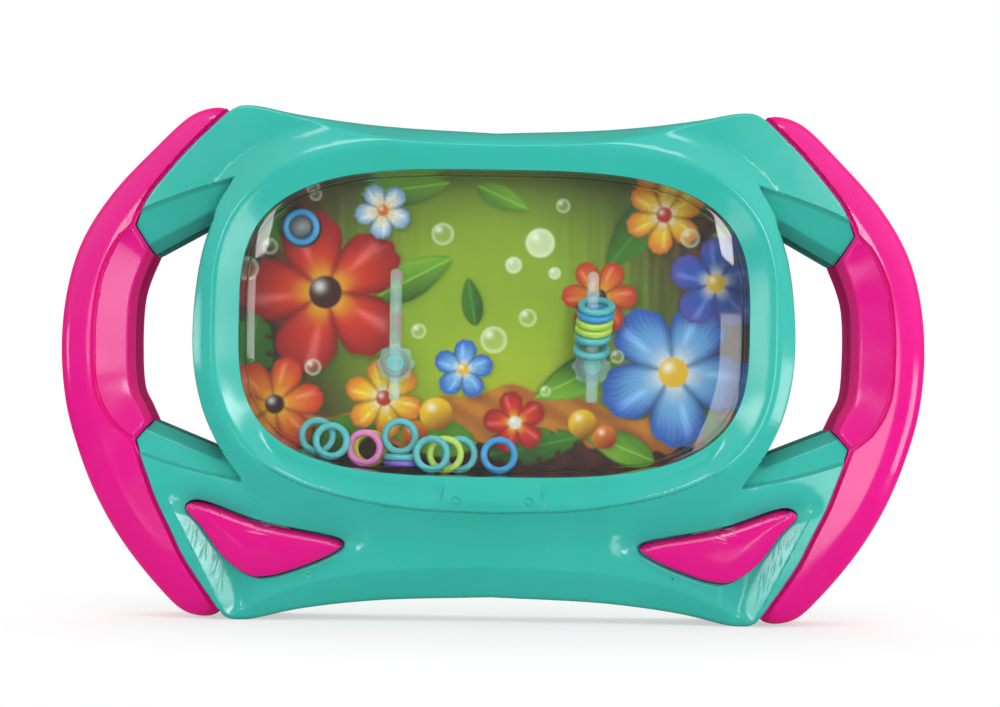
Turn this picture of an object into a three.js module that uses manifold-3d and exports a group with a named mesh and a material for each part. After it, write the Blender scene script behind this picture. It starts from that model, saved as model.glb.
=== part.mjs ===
// A handheld water game: two shells hold a clear tank with two pegs and eighteen rings, a C-shaped
// handle clips to each side, and a button below each side of the window squeezes a rubber bellows
// that blows water up through the tank floor. X is to the right, Z is up, and the front faces -Y.
// Lengths are in millimetres. The game stands on the two flats at its bottom corners.
import * as THREE from "three";
import { mergeVertices } from "three/addons/utils/BufferGeometryUtils.js";
import Module from "manifold-3d";

const wasm = await Module();
wasm.setup();

// Whole body
const width = 226;
const height = 134.3;
const frontDepth = 18; // from the parting plane to the crest of the bezel
const rearDepth = 12; // from the parting plane to the flat back
const seam = 0.3; // gap at the parting plane
const clearance = 0.3; // between pieces that fit together
const wall = 2;
const overrun = 1; // how far a cut runs past a face

const halfWidth = width / 2;
const partingY = (frontDepth - rearDepth) / 2;

// Heights of the front faces above the parting plane
const bodyFace = 12.5;
const bandFace = 11;
const gripFace = 13;
const bezelEdge = 13; // outer edge of the bezel
const edgeRadius = 3;
const armStep = 1.2; // depth of the step along each arm
const armSlope = 0.42; // fall of the arm's face beside its step

// Outlines seen from the front: shares of half the width and of the height
const topEdgeShares = [[0, 0.95], [0.265, 0.962], [0.46, 0.983], [0.572, 1], [0.602, 0.997], [0.617, 0.985]];
const upperJointShares = [[0.617, 0.985], [0.704, 0.9135], [0.7916, 0.8247], [0.8294, 0.7603]];
const upperArmShares = [[0.7915, 0.706], [0.6525, 0.7715]];
const bezelSideShares = [[0.6525, 0.7715], [0.6765, 0.704], [0.694, 0.551], [0.6805, 0.442], [0.624, 0.3265]];
const lowerArmShares = [[0.787, 0.3815], [0.8215, 0.3451]];
const lowerJointShares = [[0.8215, 0.3451], [0.7714, 0.2326], [0.7037, 0.1179], [0.6205, 0.016]];
const bottomEdgeShares = [[0.602, 0], [0.549, 0], [0.4425, 0.021], [0.2655, 0.039], [0, 0.048]];
const handleOuterShares = [
  [0.617, 0.985], [0.633, 0.9926], [0.66, 0.993], [0.708, 0.978], [0.797, 0.908], [0.892, 0.819],
  [0.956, 0.73], [0.988, 0.64], [1, 0.529], [0.988, 0.417], [0.959, 0.328], [0.916, 0.238],
  [0.854, 0.149], [0.768, 0.0596], [0.711, 0.015], [0.672, 0.0045], [0.64, 0.006], [0.6205, 0.016],
];
const handleInnerShares = [[0.787, 0.386], [0.805, 0.4138], [0.8225, 0.4444], [0.8307, 0.53],
  [0.8265, 0.62], [0.8143, 0.6593], [0.7935, 0.7]];
const gripCreaseShares = [[0.8294, 0.7603], [0.8752, 0.7233], [0.9095, 0.6648], [0.9244, 0.5967],
  [0.9271, 0.5286], [0.9191, 0.442], [0.8796, 0.3843], [0.8215, 0.3451]];
const bezelShares = [[0, 0.921], [0.3, 0.91], [0.53, 0.886], [0.6095, 0.8471], [0.6525, 0.7715],
  [0.6765, 0.704], [0.694, 0.551], [0.6805, 0.442], [0.624, 0.3265], [0.56, 0.296], [0.44, 0.261],
  [0.265, 0.2255], [0, 0.2105]];
const buttonShares = [[0.5261, 0.1855], [0.3507, 0.1553], [0.3411, 0.1479], [0.3683, 0.1302],
  [0.4384, 0.1044], [0.5051, 0.0874], [0.5507, 0.0867], [0.6086, 0.1184], [0.6655, 0.1796],
  [0.7015, 0.2158], [0.684, 0.2261]];
// Sloping faces of the arms: the first three points run along the step above each face to the tip of
// the V beside the bezel, and the others round the face itself, past the arm's free edge
const armFaceShares = [
  [[0.85, 0.766], [0.7037, 0.8217], [0.6095, 0.8471], [0.6525, 0.7715], [0.66, 0.74], [0.8, 0.68]],
  [[0.84, 0.335], [0.7037, 0.297], [0.5787, 0.2737], [0.624, 0.3265], [0.64, 0.37], [0.8, 0.41]],
];

// Window and tank
const sideRim = 12.2; // from the window's side to the side of the bezel
const topBand = 16.6; // from the window's upper edge to the top of the body's corners
const bottomBand = 38; // from the ground to the window's lower edge
const windowPower = 3.3; // exponent of the window's superellipse
const windowPoints = 40;
const windowSlope = 3; // width of the sloping edge round the window
const windowLip = 2.5; // thickness of the shell at the window's edge
const lensWall = 1.5;
const lensFront = 15; // height of the lens above the parting plane
const tankRear = 1.5; // how far the tank's open rim lies behind the parting plane
const lensShoulder = 10.9; // height of the step that bears on the window's lip
const lensRound = 2.3;
const flangeWidth = 3.5;
const flangeThickness = 1.5;
const backThickness = 1.5;
const cardThickness = 0.4;

const windowHalfWidth = bezelSideShares[2][0] * halfWidth - sideRim;
const windowHalfHeight = (height - topBand - bottomBand) / 2;
const windowZ = bottomBand + windowHalfHeight;

// Pegs: their heights are above the window's lower edge
const pegX = 25.9;
const pegTop = 54.2;
const pegTail = 19.5;
const pegRadius = 1.55;
const pegHeight = 5.5; // above the parting plane
const pegTipShare = 0.4;
const bossRise = 29.3;
const bossRadius = 3.6;
const bossFront = 7.2;
const flangeRadius = 5.2;
const scallop = 0.35; // depth of the waves round the flange
const scallopCount = 8;
const flangeDisc = 1;
const cardHoleRadius = 2.7;
const postRadius = 2.2;

const bossZ = bottomBand + bossRise;

// Rings
const ringRadius = 4; // of the line along the middle of its tube
const ringTube = 0.9; // half its radial thickness
const ringHalfHeight = 0.78; // half its thickness along the axis
const ringSides = 5;
const ringSteps = 11;
const stackTilt = 27; // degrees, front edge down
const stackSeat = 4.2; // from the middle of the boss up to the lowest ring
const stackPitch = 1.95;
const stackFirstGap = 1.75; // extra gap above the lowest ring
const stackLean = 0.15; // sideways step from ring to ring
// Loose rings: place across and rise above where it rests as shares of the ring's outer radius, and
// place in depth as a share of the tank's depth
const looseRingShares = [
  { name: "a", color: "teal", across: -9.351, depth: 0.42, rise: 0 },
  { name: "b", color: "teal", across: -8.576, depth: 0.57, rise: 0 },
  { name: "c", color: "yellow", across: -6.547, depth: 0.144, rise: 0 },
  { name: "d", color: "pink", across: -6.82, depth: 0.42, rise: 0 },
  { name: "e", color: "purple", across: -4.819, depth: 0.36, rise: 0.12, flat: true },
  { name: "f", color: "teal", across: -4.819, depth: 0.36, rise: 0.47, flat: true },
  { name: "g", color: "teal", across: -4.941, depth: 0.36, rise: 0.82 },
  { name: "h", color: "teal", across: -3.226, depth: 0.68, rise: 0 },
  { name: "i", color: "lime", across: -2.505, depth: 0.53, rise: 0 },
  { name: "j", color: "teal", across: -1.77, depth: 0.39, rise: 0 },
  { name: "k", color: "blue", across: 0.3675, depth: 0.5, rise: 0 },
];
const stackColors = ["teal", "teal", "lime", "lime", "blue", "teal"];

// Filler plug and its neck
const plugFromSide = 14.8; // from the window's side to the plug's axis
const plugFromTop = 14.8; // from the window's upper edge to the plug's axis
const plugRadius = 2.8; // of its dome
const plugDome = 3.4; // how far its dome stands out from its stem
const plugStem = 4.2; // radius of the stem in the neck
const plugStemReach = 1.8; // how far the stem stands into the tank
const plugWall = 1; // of its hollow stem
const neckWall = 1.4;
const plugCapRadius = 7.8;
const plugCap = 2;
const plugRecess = 0.6; // how deep the cap lies below the back

const plugX = plugFromSide - windowHalfWidth;
const plugZ = windowZ + windowHalfHeight - plugFromTop;

// Buttons and pumps
const buttonTop = 16;
const buttonWall = 1.5;
const buttonGap = 0.6;
const buttonFlange = 1.2;
const buttonFlangeThickness = 1.7;
const pumpShares = [0.5177, 0.1437]; // the pump's axis, shares of half the width and of the height
const stemRadius = 3;
const bellowsRadius = 6.2;
const bellowsFold = 1.3;
const bellowsFolds = 3;
const bellowsWall = 0.9;
const bellowsFront = 4.6; // height of its dome above the parting plane
const cupDepth = 4.5;
const cupWall = 1.5;
const nozzleInset = 13.5; // from the pump's axis in to the nozzle
const nozzleHeight = 6.5;
const spigotRadius = 1.3;
const spigotBore = 0.7;
const spigotLength = 3;
const hoseWall = 0.8;
const hoseBend = 6;
const hoseStraight = 4; // length of each straight end

const pumpX = pumpShares[0] * halfWidth;
const pumpZ = pumpShares[1] * height;
const nozzleX = pumpX - nozzleInset;

// Screws: places of the posts on the right side, shares of half the width and of the height
const screwShares = [[0.624, 0.905], [0.726, 0.272], [0.124, 0.156], [0.588, 0.051]];
const handleScrewShares = [[0.905, 0.64], [0.905, 0.432]];
const screwPost = 4.2;
const screwBoss = 3;
const screwShank = 1.2;
const screwHead = 2.7;
const screwHeadHeight = 1.7;
const screwSink = 0.8; // depth of the head below the back
const screwReach = 7; // how far the shank reaches past the parting plane
const screwSides = 8;
const slotWidth = 0.7;
const slotDepth = 0.8;

// Tongues that hold each handle in the body's arms
const tongueWidth = 4.4;
const tongueLength = 9;
const tongueThickness = 3.5;
const tonguePin = 1.3;

const circleSteps = 10;
const curveSteps = 2;

// Materials
const plastic = (color, roughness) => new THREE.MeshStandardMaterial({ color, roughness, metalness: 0 });
const teal = plastic(0x3fbcab, 0.25);
const magenta = plastic(0xe9208e, 0.25);
const clear = new THREE.MeshStandardMaterial({
  color: 0xeef6f6, roughness: 0.05, transparent: true, opacity: 0.3,
});
const card = plastic(0x7a9a2c, 0.6);
const greyRubber = plastic(0x9a9a98, 0.5);
const pumpRubber = plastic(0xd8d8d0, 0.6);
const steel = new THREE.MeshStandardMaterial({ color: 0xb8bcc0, roughness: 0.35, metalness: 1 });
const ringColors = {
  teal: plastic(0x4fb3b3, 0.4),
  blue: plastic(0x2f8fc8, 0.4),
  lime: plastic(0xa8cc50, 0.4),
  pink: plastic(0xd47ab0, 0.4),
  yellow: plastic(0xcdbb3c, 0.4),
  purple: plastic(0x7c5cb8, 0.4),
};

// Height above the parting plane as a place on the Y axis
const up = (h) => partingY - h;

// Points of an outline from shares of half the width and of the height
const placed = (shares) => shares.map(([x, z]) => new THREE.Vector2(x * halfWidth, z * height));

// A smooth line through the points, with so many steps between two of them
function smooth(points, steps, closed = false) {
  const knots = points.map((p) => new THREE.Vector3(p.x, p.y, 0));
  const curve = new THREE.CatmullRomCurve3(knots, closed, "centripetal");
  const spans = closed ? points.length : points.length - 1;
  const line = curve.getPoints(spans * steps).map((p) => new THREE.Vector2(p.x, p.y));
  return closed ? line.slice(0, -1) : line;
}

// Joins lines end to end and leaves out points that fall together
function joined(...lines) {
  const tiny = seam / 10;
  const points = lines.flat().filter((p, i, all) => i === 0 || p.distanceTo(all[i - 1]) > tiny);
  if (points[0].distanceTo(points[points.length - 1]) < tiny) points.pop();
  return points;
}

const mirrored = (points) => points.map((p) => new THREE.Vector2(-p.x, p.y));
const onSide = (points, side) => (side > 0 ? points : mirrored(points));

// A closed outline from its right half, which runs from the top to the bottom of the middle line
const bothHalves = (half) => joined(half, mirrored(half).reverse());

// The outline turned to run anticlockwise and drawn in by a distance, or out by a negative one
function drawnIn(points, distance) {
  const ring = THREE.ShapeUtils.area(points) > 0 ? points : [...points].reverse();
  const inward = (a, b) => new THREE.Vector2(a.y - b.y, b.x - a.x).normalize();
  return ring.map((p, i) => {
    const before = inward(ring[(i + ring.length - 1) % ring.length], p);
    const after = inward(p, ring[(i + 1) % ring.length]);
    const middle = before.clone().add(after);
    return p.clone().addScaledVector(middle, (2 * distance) / Math.max(middle.lengthSq(), 1));
  });
}

// A manifold solid from a closed three.js geometry
function solid(geometry) {
  const bare = geometry.clone();
  bare.deleteAttribute("normal");
  bare.deleteAttribute("uv");
  const merged = mergeVertices(bare);
  const vertProperties = new Float32Array(merged.attributes.position.array);
  const faces = [];
  const index = merged.index.array;
  for (let i = 0; i < index.length; i += 3) {
    const [a, b, c] = index.slice(i, i + 3);
    if (a !== b && b !== c && c !== a) faces.push(a, b, c);
  }
  const build = (list) => new wasm.Manifold(
    new wasm.Mesh({ numProp: 3, vertProperties, triVerts: new Uint32Array(list) }),
  );
  const made = build(faces);
  return made.volume() < 0 ? build(faces.reverse()) : made;
}

// A solid whose slices across Y are one outline, drawn in by each step's first value at its second,
// a height above the parting plane or a function that gives it. The steps run from back to front.
function stack(outline, steps) {
  const rings = steps.map(([inset]) => drawnIn(outline, inset));
  const count = rings[0].length;
  const level = (height, p) => (typeof height === "function" ? height(p) : height);
  const positions = rings.flatMap((ring, k) => ring.flatMap((p) => [p.x, up(level(steps[k][1], p)), p.y]));
  const faces = [];
  for (let k = 0; k + 1 < rings.length; k++)
    for (let i = 0; i < count; i++) {
      const j = (i + 1) % count;
      const [a, b, c, d] = [k * count + i, k * count + j, (k + 1) * count + i, (k + 1) * count + j];
      faces.push(a, b, d, a, d, c);
    }
  const last = (rings.length - 1) * count;
  for (const [a, b, c] of THREE.ShapeUtils.triangulateShape(drawnIn(outline, 0), []))
    faces.push(a, c, b, last + a, last + b, last + c);
  const geometry = new THREE.BufferGeometry();
  geometry.setAttribute("position", new THREE.Float32BufferAttribute(positions, 3));
  geometry.setIndex(faces);
  return solid(geometry);
}

const prism = (outline, low, high) => stack(outline, [[0, low], [0, high]]);

// A cylinder along Y between two heights above the parting plane
function rod(x, z, radius, low, high, steps = circleSteps) {
  const geometry = new THREE.CylinderGeometry(radius, radius, high - low, steps);
  return solid(geometry.translate(x, up((low + high) / 2), z));
}

const joinAll = (solids) => solids.reduce((a, b) => a.add(b));
const cutAll = (body, solids) => solids.reduce((a, b) => a.subtract(b), body);

const part = new THREE.Group();

// Adds a node; a mirrored one is the same solid seen in the middle plane
function addNode(name, body, material, mirror = false) {
  const made = body.getMesh();
  const geometry = new THREE.BufferGeometry();
  const positions = [];
  for (let i = 0; i < made.vertProperties.length; i += made.numProp)
    positions.push(...made.vertProperties.subarray(i, i + 3));
  geometry.setAttribute("position", new THREE.Float32BufferAttribute(positions, 3));
  geometry.setIndex([...made.triVerts]);
  geometry.computeVertexNormals();
  const mesh = new THREE.Mesh(geometry, material);
  mesh.name = name;
  if (mirror) mesh.scale.x = -1;
  part.add(mesh);
}

// Outlines
const topEdge = smooth(placed(topEdgeShares), curveSteps);
const bottomEdge = smooth(placed(bottomEdgeShares.slice(1)), curveSteps);
const upperJoint = smooth(placed(upperJointShares), curveSteps);
const lowerJoint = smooth(placed(lowerJointShares), curveSteps);
const foot = placed(bottomEdgeShares.slice(0, 1));
const bodyOutline = bothHalves(joined(
  topEdge, upperJoint, placed(upperArmShares), smooth(placed(bezelSideShares), curveSteps),
  placed(lowerArmShares), lowerJoint, foot, bottomEdge,
));
const handleOuter = smooth(placed(handleOuterShares), curveSteps);
const handleInner = smooth(placed(handleInnerShares), curveSteps);
// The whole silhouette runs straight over the notches between the body and the handles
const silhouetteShares = [...topEdgeShares.slice(0, 4), ...handleOuterShares.slice(1, -1)];
const overNotches = smooth(placed(silhouetteShares), curveSteps);
const wholeOutline = bothHalves(joined(overNotches, foot, bottomEdge));
const handleOutline = joined(handleOuter, [...lowerJoint].reverse(), handleInner, [...upperJoint].reverse());
const gripOutline = joined(smooth(placed(gripCreaseShares), curveSteps), handleInner);
const bezelOutline = bothHalves(smooth(placed(bezelShares), curveSteps));
const buttonOutline = smooth(placed(buttonShares), 3, true);

// The superellipse of the window
function superellipse() {
  const power = 2 / windowPower;
  return Array.from({ length: windowPoints }, (_, i) => {
    const angle = (2 * Math.PI * i) / windowPoints;
    const [c, s] = [Math.cos(angle), Math.sin(angle)];
    const x = windowHalfWidth * Math.sign(c) * Math.abs(c) ** power;
    const z = windowZ + windowHalfHeight * Math.sign(s) * Math.abs(s) ** power;
    return new THREE.Vector2(x, z);
  });
}
const windowOutline = superellipse();
const tankOutset = lensWall - clearance; // the tank's outer wall beside the window's edge

const tankInset = clearance; // the tank's inner wall beside the window's edge
const flangeOutset = tankOutset + flangeWidth;
const backFront = -(tankRear + seam); // heights of the faces behind the tank
const backRear = backFront - backThickness;
const cardFront = backRear - clearance;
const rearInside = -(rearDepth - wall);
const tankCeiling = lensFront - lensWall;

const screwSpots = placed(screwShares).flatMap((p) => [p, ...mirrored([p])]);
const handleScrewSpots = placed(handleScrewShares);

// The pump's round parts turn about this line, and their profiles are radius and height pairs
function turned(profile, x, z, steps = circleSteps) {
  const points = profile.map(([r, h]) => new THREE.Vector2(r, -h));
  const geometry = new THREE.LatheGeometry(points, steps);
  return solid(geometry.translate(x, partingY, z));
}

// A prism whose far edge is rounded. It runs from low to high, forwards or backwards.
function rounded(outline, low, high, radius, arcSteps = 2) {
  const way = Math.sign(high - low);
  const steps = [[0, low]];
  for (let k = 0; k <= arcSteps; k++) {
    const angle = ((Math.PI / 2) * k) / arcSteps;
    steps.push([radius * (1 - Math.cos(angle)), high - way * radius * (1 - Math.sin(angle))]);
  }
  return stack(outline, steps);
}

// The outline drawn smaller about the middle of its points
function shrunk(points, share) {
  const middle = new THREE.Vector2();
  for (const p of points) middle.addScaledVector(p, 1 / points.length);
  return points.map((p) => p.clone().sub(middle).multiplyScalar(share).add(middle));
}

const boxOutline = (center, along, across, start, end, halfBreadth) => [
  center.clone().addScaledVector(along, start).addScaledVector(across, -halfBreadth),
  center.clone().addScaledVector(along, end).addScaledVector(across, -halfBreadth),
  center.clone().addScaledVector(along, end).addScaledVector(across, halfBreadth),
  center.clone().addScaledVector(along, start).addScaledVector(across, halfBreadth),
];

// The ends of the body's arms on the right side, where the tongues go in
const armEnds = [
  placed([upperJointShares[upperJointShares.length - 1], upperArmShares[0]]),
  placed([lowerArmShares[0], lowerArmShares[1]]),
].map(([outer, inner]) => {
  const across = inner.clone().sub(outer).normalize();
  const middle = inner.clone().add(outer).multiplyScalar(1 / 2);
  const into = new THREE.Vector2(-across.y, across.x);
  const inwards = into.x < 0 ? into : into.negate();
  return { middle, across, inwards };
});
const pinSpot = (end) => end.middle.clone().addScaledVector(end.inwards, tongueLength - tongueWidth / 2);

function tongue(end, play, start) {
  const outline = boxOutline(
    end.middle, end.inwards, end.across, start, tongueLength + play, tongueWidth / 2 + play,
  );
  const low = play > 0 ? -overrun : seam / 2;
  return prism(outline, low, seam / 2 + tongueThickness + play);
}

// What lies in front of an arm's sloping face, or of the same face set back by a distance
function armCut(shares, side, back) {
  const outline = onSide(placed(shares), side);
  const [start, , tip] = outline;
  const along = tip.clone().sub(start).normalize();
  const fall = (p) => Math.abs(along.cross(p.clone().sub(start)));
  const face = (p) => bodyFace - armStep - back - armSlope * fall(p);
  return stack(outline, [[0, face], [0, frontDepth + overrun]]);
}

// The front shell: a plate with rounded edges, the raised bezel, and a hollow behind them
function frontShell() {
  const plate = rounded(wholeOutline, seam / 2, bodyFace, edgeRadius);
  const shaped = plate.intersect(prism(bodyOutline, -overrun, frontDepth));
  const bezel = rounded(bezelOutline, bodyFace - wall, frontDepth, frontDepth - bezelEdge);
  const armCuts = (back) => [1, -1].flatMap((side) => armFaceShares.map((s) => armCut(s, side, back)));
  const hollow = cutAll(prism(drawnIn(bodyOutline, wall), -overrun, bodyFace - wall), armCuts(wall));
  const collar = flangeOutset + wall / 2;
  const slope = windowSlope / (frontDepth - lensShoulder - windowLip);
  const underBezel = stack(bezelOutline, [
    [wall, 0], [wall, bezelEdge - wall / 2], [wall + edgeRadius, frontDepth - wall],
  ]).subtract(prism(drawnIn(windowOutline, -collar), -overrun, frontDepth));
  const opening = stack(windowOutline, [
    [0, -overrun], [0, lensShoulder + windowLip],
    [-slope * (frontDepth + overrun - lensShoulder - windowLip), frontDepth + overrun],
  ]);
  const seat = prism(drawnIn(windowOutline, -tankOutset - clearance), -overrun, lensShoulder + clearance);
  const bossTop = bodyFace - wall / 2;
  const inside = prism(drawnIn(bodyOutline, wall / 2), -overrun, frontDepth);
  const bosses = joinAll(screwSpots.map((p) => rod(p.x, p.y, screwBoss, seam / 2, bossTop)))
    .intersect(inside);
  const pilots = screwSpots.map((p) =>
    rod(p.x, p.y, screwShank + clearance, -overrun, seam / 2 + screwReach + clearance));
  const cuts = [];
  const pins = [];
  for (const side of [1, -1]) {
    cuts.push(prism(drawnIn(onSide(buttonOutline, side), -buttonGap), 0, frontDepth));
    for (const end of armEnds) {
      const mirroredEnd = {
        middle: onSide([end.middle], side)[0], across: onSide([end.across], side)[0],
        inwards: onSide([end.inwards], side)[0],
      };
      cuts.push(tongue(mirroredEnd, clearance, -overrun));
      const spot = pinSpot(mirroredEnd);
      pins.push(rod(spot.x, spot.y, tonguePin, seam / 2, bossTop));
    }
  }
  const shell = cutAll(shaped.add(bezel), [hollow, underBezel, opening, seat]).add(bosses);
  return cutAll(joinAll([cutAll(shell, [...cuts, ...pilots]), ...pins]), armCuts(0));
}

// The rear shell: a tray with screw posts and ribs that press the tank and its back
function rearShell() {
  const tray = rounded(wholeOutline, -seam / 2, -rearDepth, edgeRadius);
  const shaped = tray.intersect(prism(bodyOutline, -rearDepth - overrun, overrun));
  const hollow = prism(drawnIn(bodyOutline, wall), rearInside, overrun);
  const inside = prism(drawnIn(bodyOutline, wall / 2), -rearDepth, overrun);
  const posts = screwSpots.map((p) => rod(p.x, p.y, screwPost, rearInside - wall / 2, -seam / 2));
  const ribInset = tankOutset + flangeWidth / 2;
  const ribs = [
    [windowHalfWidth + ribInset, windowZ], [-windowHalfWidth - ribInset, windowZ],
    [0, windowZ + windowHalfHeight + ribInset], [0, windowZ - windowHalfHeight - ribInset],
  ].map(([x, z]) => rod(x, z, flangeWidth / 2, rearInside - wall / 2, backRear - clearance));
  const pegPosts = [pegX, -pegX].map((x) =>
    rod(x, bossZ, postRadius, rearInside - wall / 2, backRear - clearance));
  const shell = joinAll([shaped.subtract(hollow), ...ribs, ...pegPosts, joinAll(posts).intersect(inside)]);
  const holes = screwSpots.flatMap((p) => screwHoles(p));
  const plugHole = rod(plugX, plugZ, plugCapRadius + clearance, -rearDepth - overrun, rearInside + overrun);
  return cutAll(shell, [...holes, plugHole]);
}

// The through hole and the wider hole for the head behind a screw
function screwHoles(p) {
  const headFront = screwSink + screwHeadHeight + clearance - rearDepth;
  return [
    rod(p.x, p.y, screwShank + clearance, -rearDepth - overrun, overrun),
    rod(p.x, p.y, screwHead + clearance, -rearDepth - overrun, headFront),
  ];
}

function screw(p) {
  const back = screwSink - rearDepth;
  const body = turned([
    [0, back], [screwHead, back], [screwHead, back + screwHeadHeight], [screwShank, back + screwHeadHeight],
    [screwShank, screwReach - screwShank], [0, screwReach],
  ], p.x, p.y, screwSides);
  const slots = [0, Math.PI / 2].map((turn) => {
    const along = new THREE.Vector2(Math.cos(turn), Math.sin(turn));
    const across = new THREE.Vector2(-Math.sin(turn), Math.cos(turn));
    const reach = screwHead - slotWidth;
    const slot = boxOutline(p, along, across, -reach, reach, slotWidth / 2);
    return prism(slot, back - overrun, back + slotDepth);
  });
  return cutAll(body, slots);
}

// The space that both halves of the right handle keep hollow
function handleHollow(low, high) {
  const bodySide = placed([...upperArmShares, ...bezelSideShares, lowerArmShares[0]]);
  const gap = joined(handleInner, bodySide);
  return prism(handleOutline, low, high)
    .intersect(prism(drawnIn(wholeOutline, wall), low, high))
    .subtract(prism(drawnIn(bodyOutline, -wall - clearance), low, high))
    .subtract(prism(drawnIn(gap, -wall), low, high));
}

const bodyWithPlay = prism(drawnIn(bodyOutline, -clearance), -rearDepth - overrun, frontDepth + overrun);

function handleFront() {
  const band = rounded(wholeOutline, seam / 2, bandFace, edgeRadius);
  const shaped = band.intersect(prism(handleOutline, -overrun, frontDepth));
  const grip = rounded(gripOutline, bandFace - edgeRadius - wall, gripFace, wall / 2);
  const hollow = handleHollow(-overrun, bandFace - wall);
  const bosses = handleScrewSpots.map((p) => rod(p.x, p.y, screwBoss, seam / 2, bandFace - wall / 2));
  const pilots = handleScrewSpots.map((p) =>
    rod(p.x, p.y, screwShank + clearance, -overrun, seam / 2 + screwReach + clearance));
  const shell = shaped.add(grip).subtract(bodyWithPlay).subtract(hollow);
  const tongues = armEnds.map((end) => tongue(end, 0, -clearance - wall / 2));
  const pinHoles = armEnds.map((end) => {
    const spot = pinSpot(end);
    return rod(spot.x, spot.y, tonguePin + clearance, -overrun, frontDepth);
  });
  return cutAll(joinAll([shell, ...bosses, ...tongues]), [...pilots, ...pinHoles]);
}

function handleRear() {
  const band = rounded(wholeOutline, -seam / 2, -rearDepth, edgeRadius);
  const shaped = band.intersect(prism(handleOutline, -frontDepth, overrun)).subtract(bodyWithPlay);
  const shell = shaped.subtract(handleHollow(rearInside, overrun));
  const posts = handleScrewSpots.map((p) => rod(p.x, p.y, screwPost, rearInside - wall / 2, -seam / 2));
  return cutAll(joinAll([shell, ...posts]), handleScrewSpots.flatMap((p) => screwHoles(p)));
}

// Height of the window's lower edge below a point x from the middle
function windowFloor(x) {
  const share = Math.min(Math.abs(x) / windowHalfWidth, 1);
  return windowZ - windowHalfHeight * (1 - share ** windowPower) ** (1 / windowPower);
}

// A cylinder along Z
function upright(x, h, low, high, bottomRadius, topRadius = bottomRadius) {
  const geometry = new THREE.CylinderGeometry(topRadius, bottomRadius, high - low, circleSteps / 2);
  return solid(geometry.rotateX(Math.PI / 2).translate(x, up(h), (low + high) / 2));
}

// The clear tank: a tub open at the back, with a flange and a nozzle at each side of its floor
function tankLens() {
  const arc = [0, 1, 2, 3].map((k) => {
    const angle = (Math.PI / 6) * k;
    return [clearance + lensRound * (1 - Math.cos(angle)), lensFront - lensRound * (1 - Math.sin(angle))];
  });
  const outer = stack(windowOutline, [[-tankOutset, -tankRear], [-tankOutset, lensShoulder],
    [clearance, lensShoulder], ...arc]);
  const flange = prism(drawnIn(windowOutline, -flangeOutset), -tankRear, flangeThickness - tankRear);
  const step = lensShoulder - lensWall;
  const inner = stack(windowOutline, [[tankInset, -tankRear - overrun], [tankInset, step],
    [clearance + lensWall, step], [clearance + lensWall, tankCeiling - lensWall],
    [clearance + 2 * lensWall, tankCeiling]]);
  const floor = windowFloor(nozzleX);
  const nozzles = [];
  const bores = [];
  for (const x of [nozzleX, -nozzleX]) {
    const bottom = floor - tankOutset - spigotLength;
    nozzles.push(upright(x, nozzleHeight, bottom, floor - lensWall / 3, spigotRadius));
    bores.push(upright(x, nozzleHeight, bottom - overrun, floor + lensWall + overrun, spigotBore));
  }
  return cutAll(joinAll([outer, flange, ...nozzles]), [inner, ...bores]);
}

// The plate that closes the tank, with the neck that the filler plug goes into
function tankBack() {
  const plate = prism(drawnIn(windowOutline, -flangeOutset), backRear, backFront);
  const neckEnd = plugCapInside() + clearance;
  const neck = rod(plugX, plugZ, plugStem + clearance + neckWall, neckEnd, backRear + backThickness / 2);
  const bore = rod(plugX, plugZ, plugStem + clearance, -rearDepth, overrun);
  return plate.add(neck).subtract(bore);
}

// Height of the inner face of the plug's cap
function plugCapInside() {
  return plugRecess + plugCap - rearDepth;
}

// The filler plug: a hollow stem with a wide cap behind and a dome inside the tank
function fillPlug() {
  const back = plugRecess - rearDepth;
  const front = backFront + plugStemReach;
  const tip = front + plugDome;
  const dome = [0, 1, 2, 3].map((k) => {
    const angle = (Math.PI / 6) * k;
    return [plugRadius * Math.cos(angle), tip - plugRadius * (1 - Math.sin(angle))];
  });
  const capEdge = plugCap / 4;
  return turned([
    [0, front - plugWall], [plugStem - plugWall, front - plugWall], [plugStem - plugWall, back],
    [plugCapRadius - capEdge, back], [plugCapRadius, back + capEdge],
    [plugCapRadius, plugCapInside()], [plugStem, plugCapInside()], [plugStem, front], ...dome,
  ], plugX, plugZ);
}

function pictureCard() {
  const sheet = prism(drawnIn(windowOutline, -tankOutset), cardFront - cardThickness, cardFront);
  const neckHole = plugStem + 2 * clearance + neckWall;
  return cutAll(sheet, [
    rod(plugX, plugZ, neckHole, -rearDepth, overrun),
    ...[pegX, -pegX].map((x) => rod(x, bossZ, cardHoleRadius, -rearDepth, overrun)),
  ]);
}

// A peg: an upright rod on a round boss, with a wavy flange that is bonded to the back of the tank
function peg() {
  const foot = backFront + clearance;
  const steps = circleSteps * 2;
  const wave = Array.from({ length: steps }, (_, i) => {
    const angle = (2 * Math.PI * i) / steps;
    const r = flangeRadius - scallop * (1 - Math.cos(scallopCount * angle));
    return new THREE.Vector2(pegX + r * Math.cos(angle), bossZ + r * Math.sin(angle));
  });
  const tip = bottomBand + pegTop - pegRadius;
  return joinAll([
    prism(wave, foot, foot + flangeDisc),
    rod(pegX, bossZ, bossRadius, foot, bossFront),
    upright(pegX, pegHeight, bottomBand + pegTail, tip, pegRadius),
    upright(pegX, pegHeight, tip, bottomBand + pegTop, pegRadius, pegRadius * pegTipShare),
  ]);
}

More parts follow.
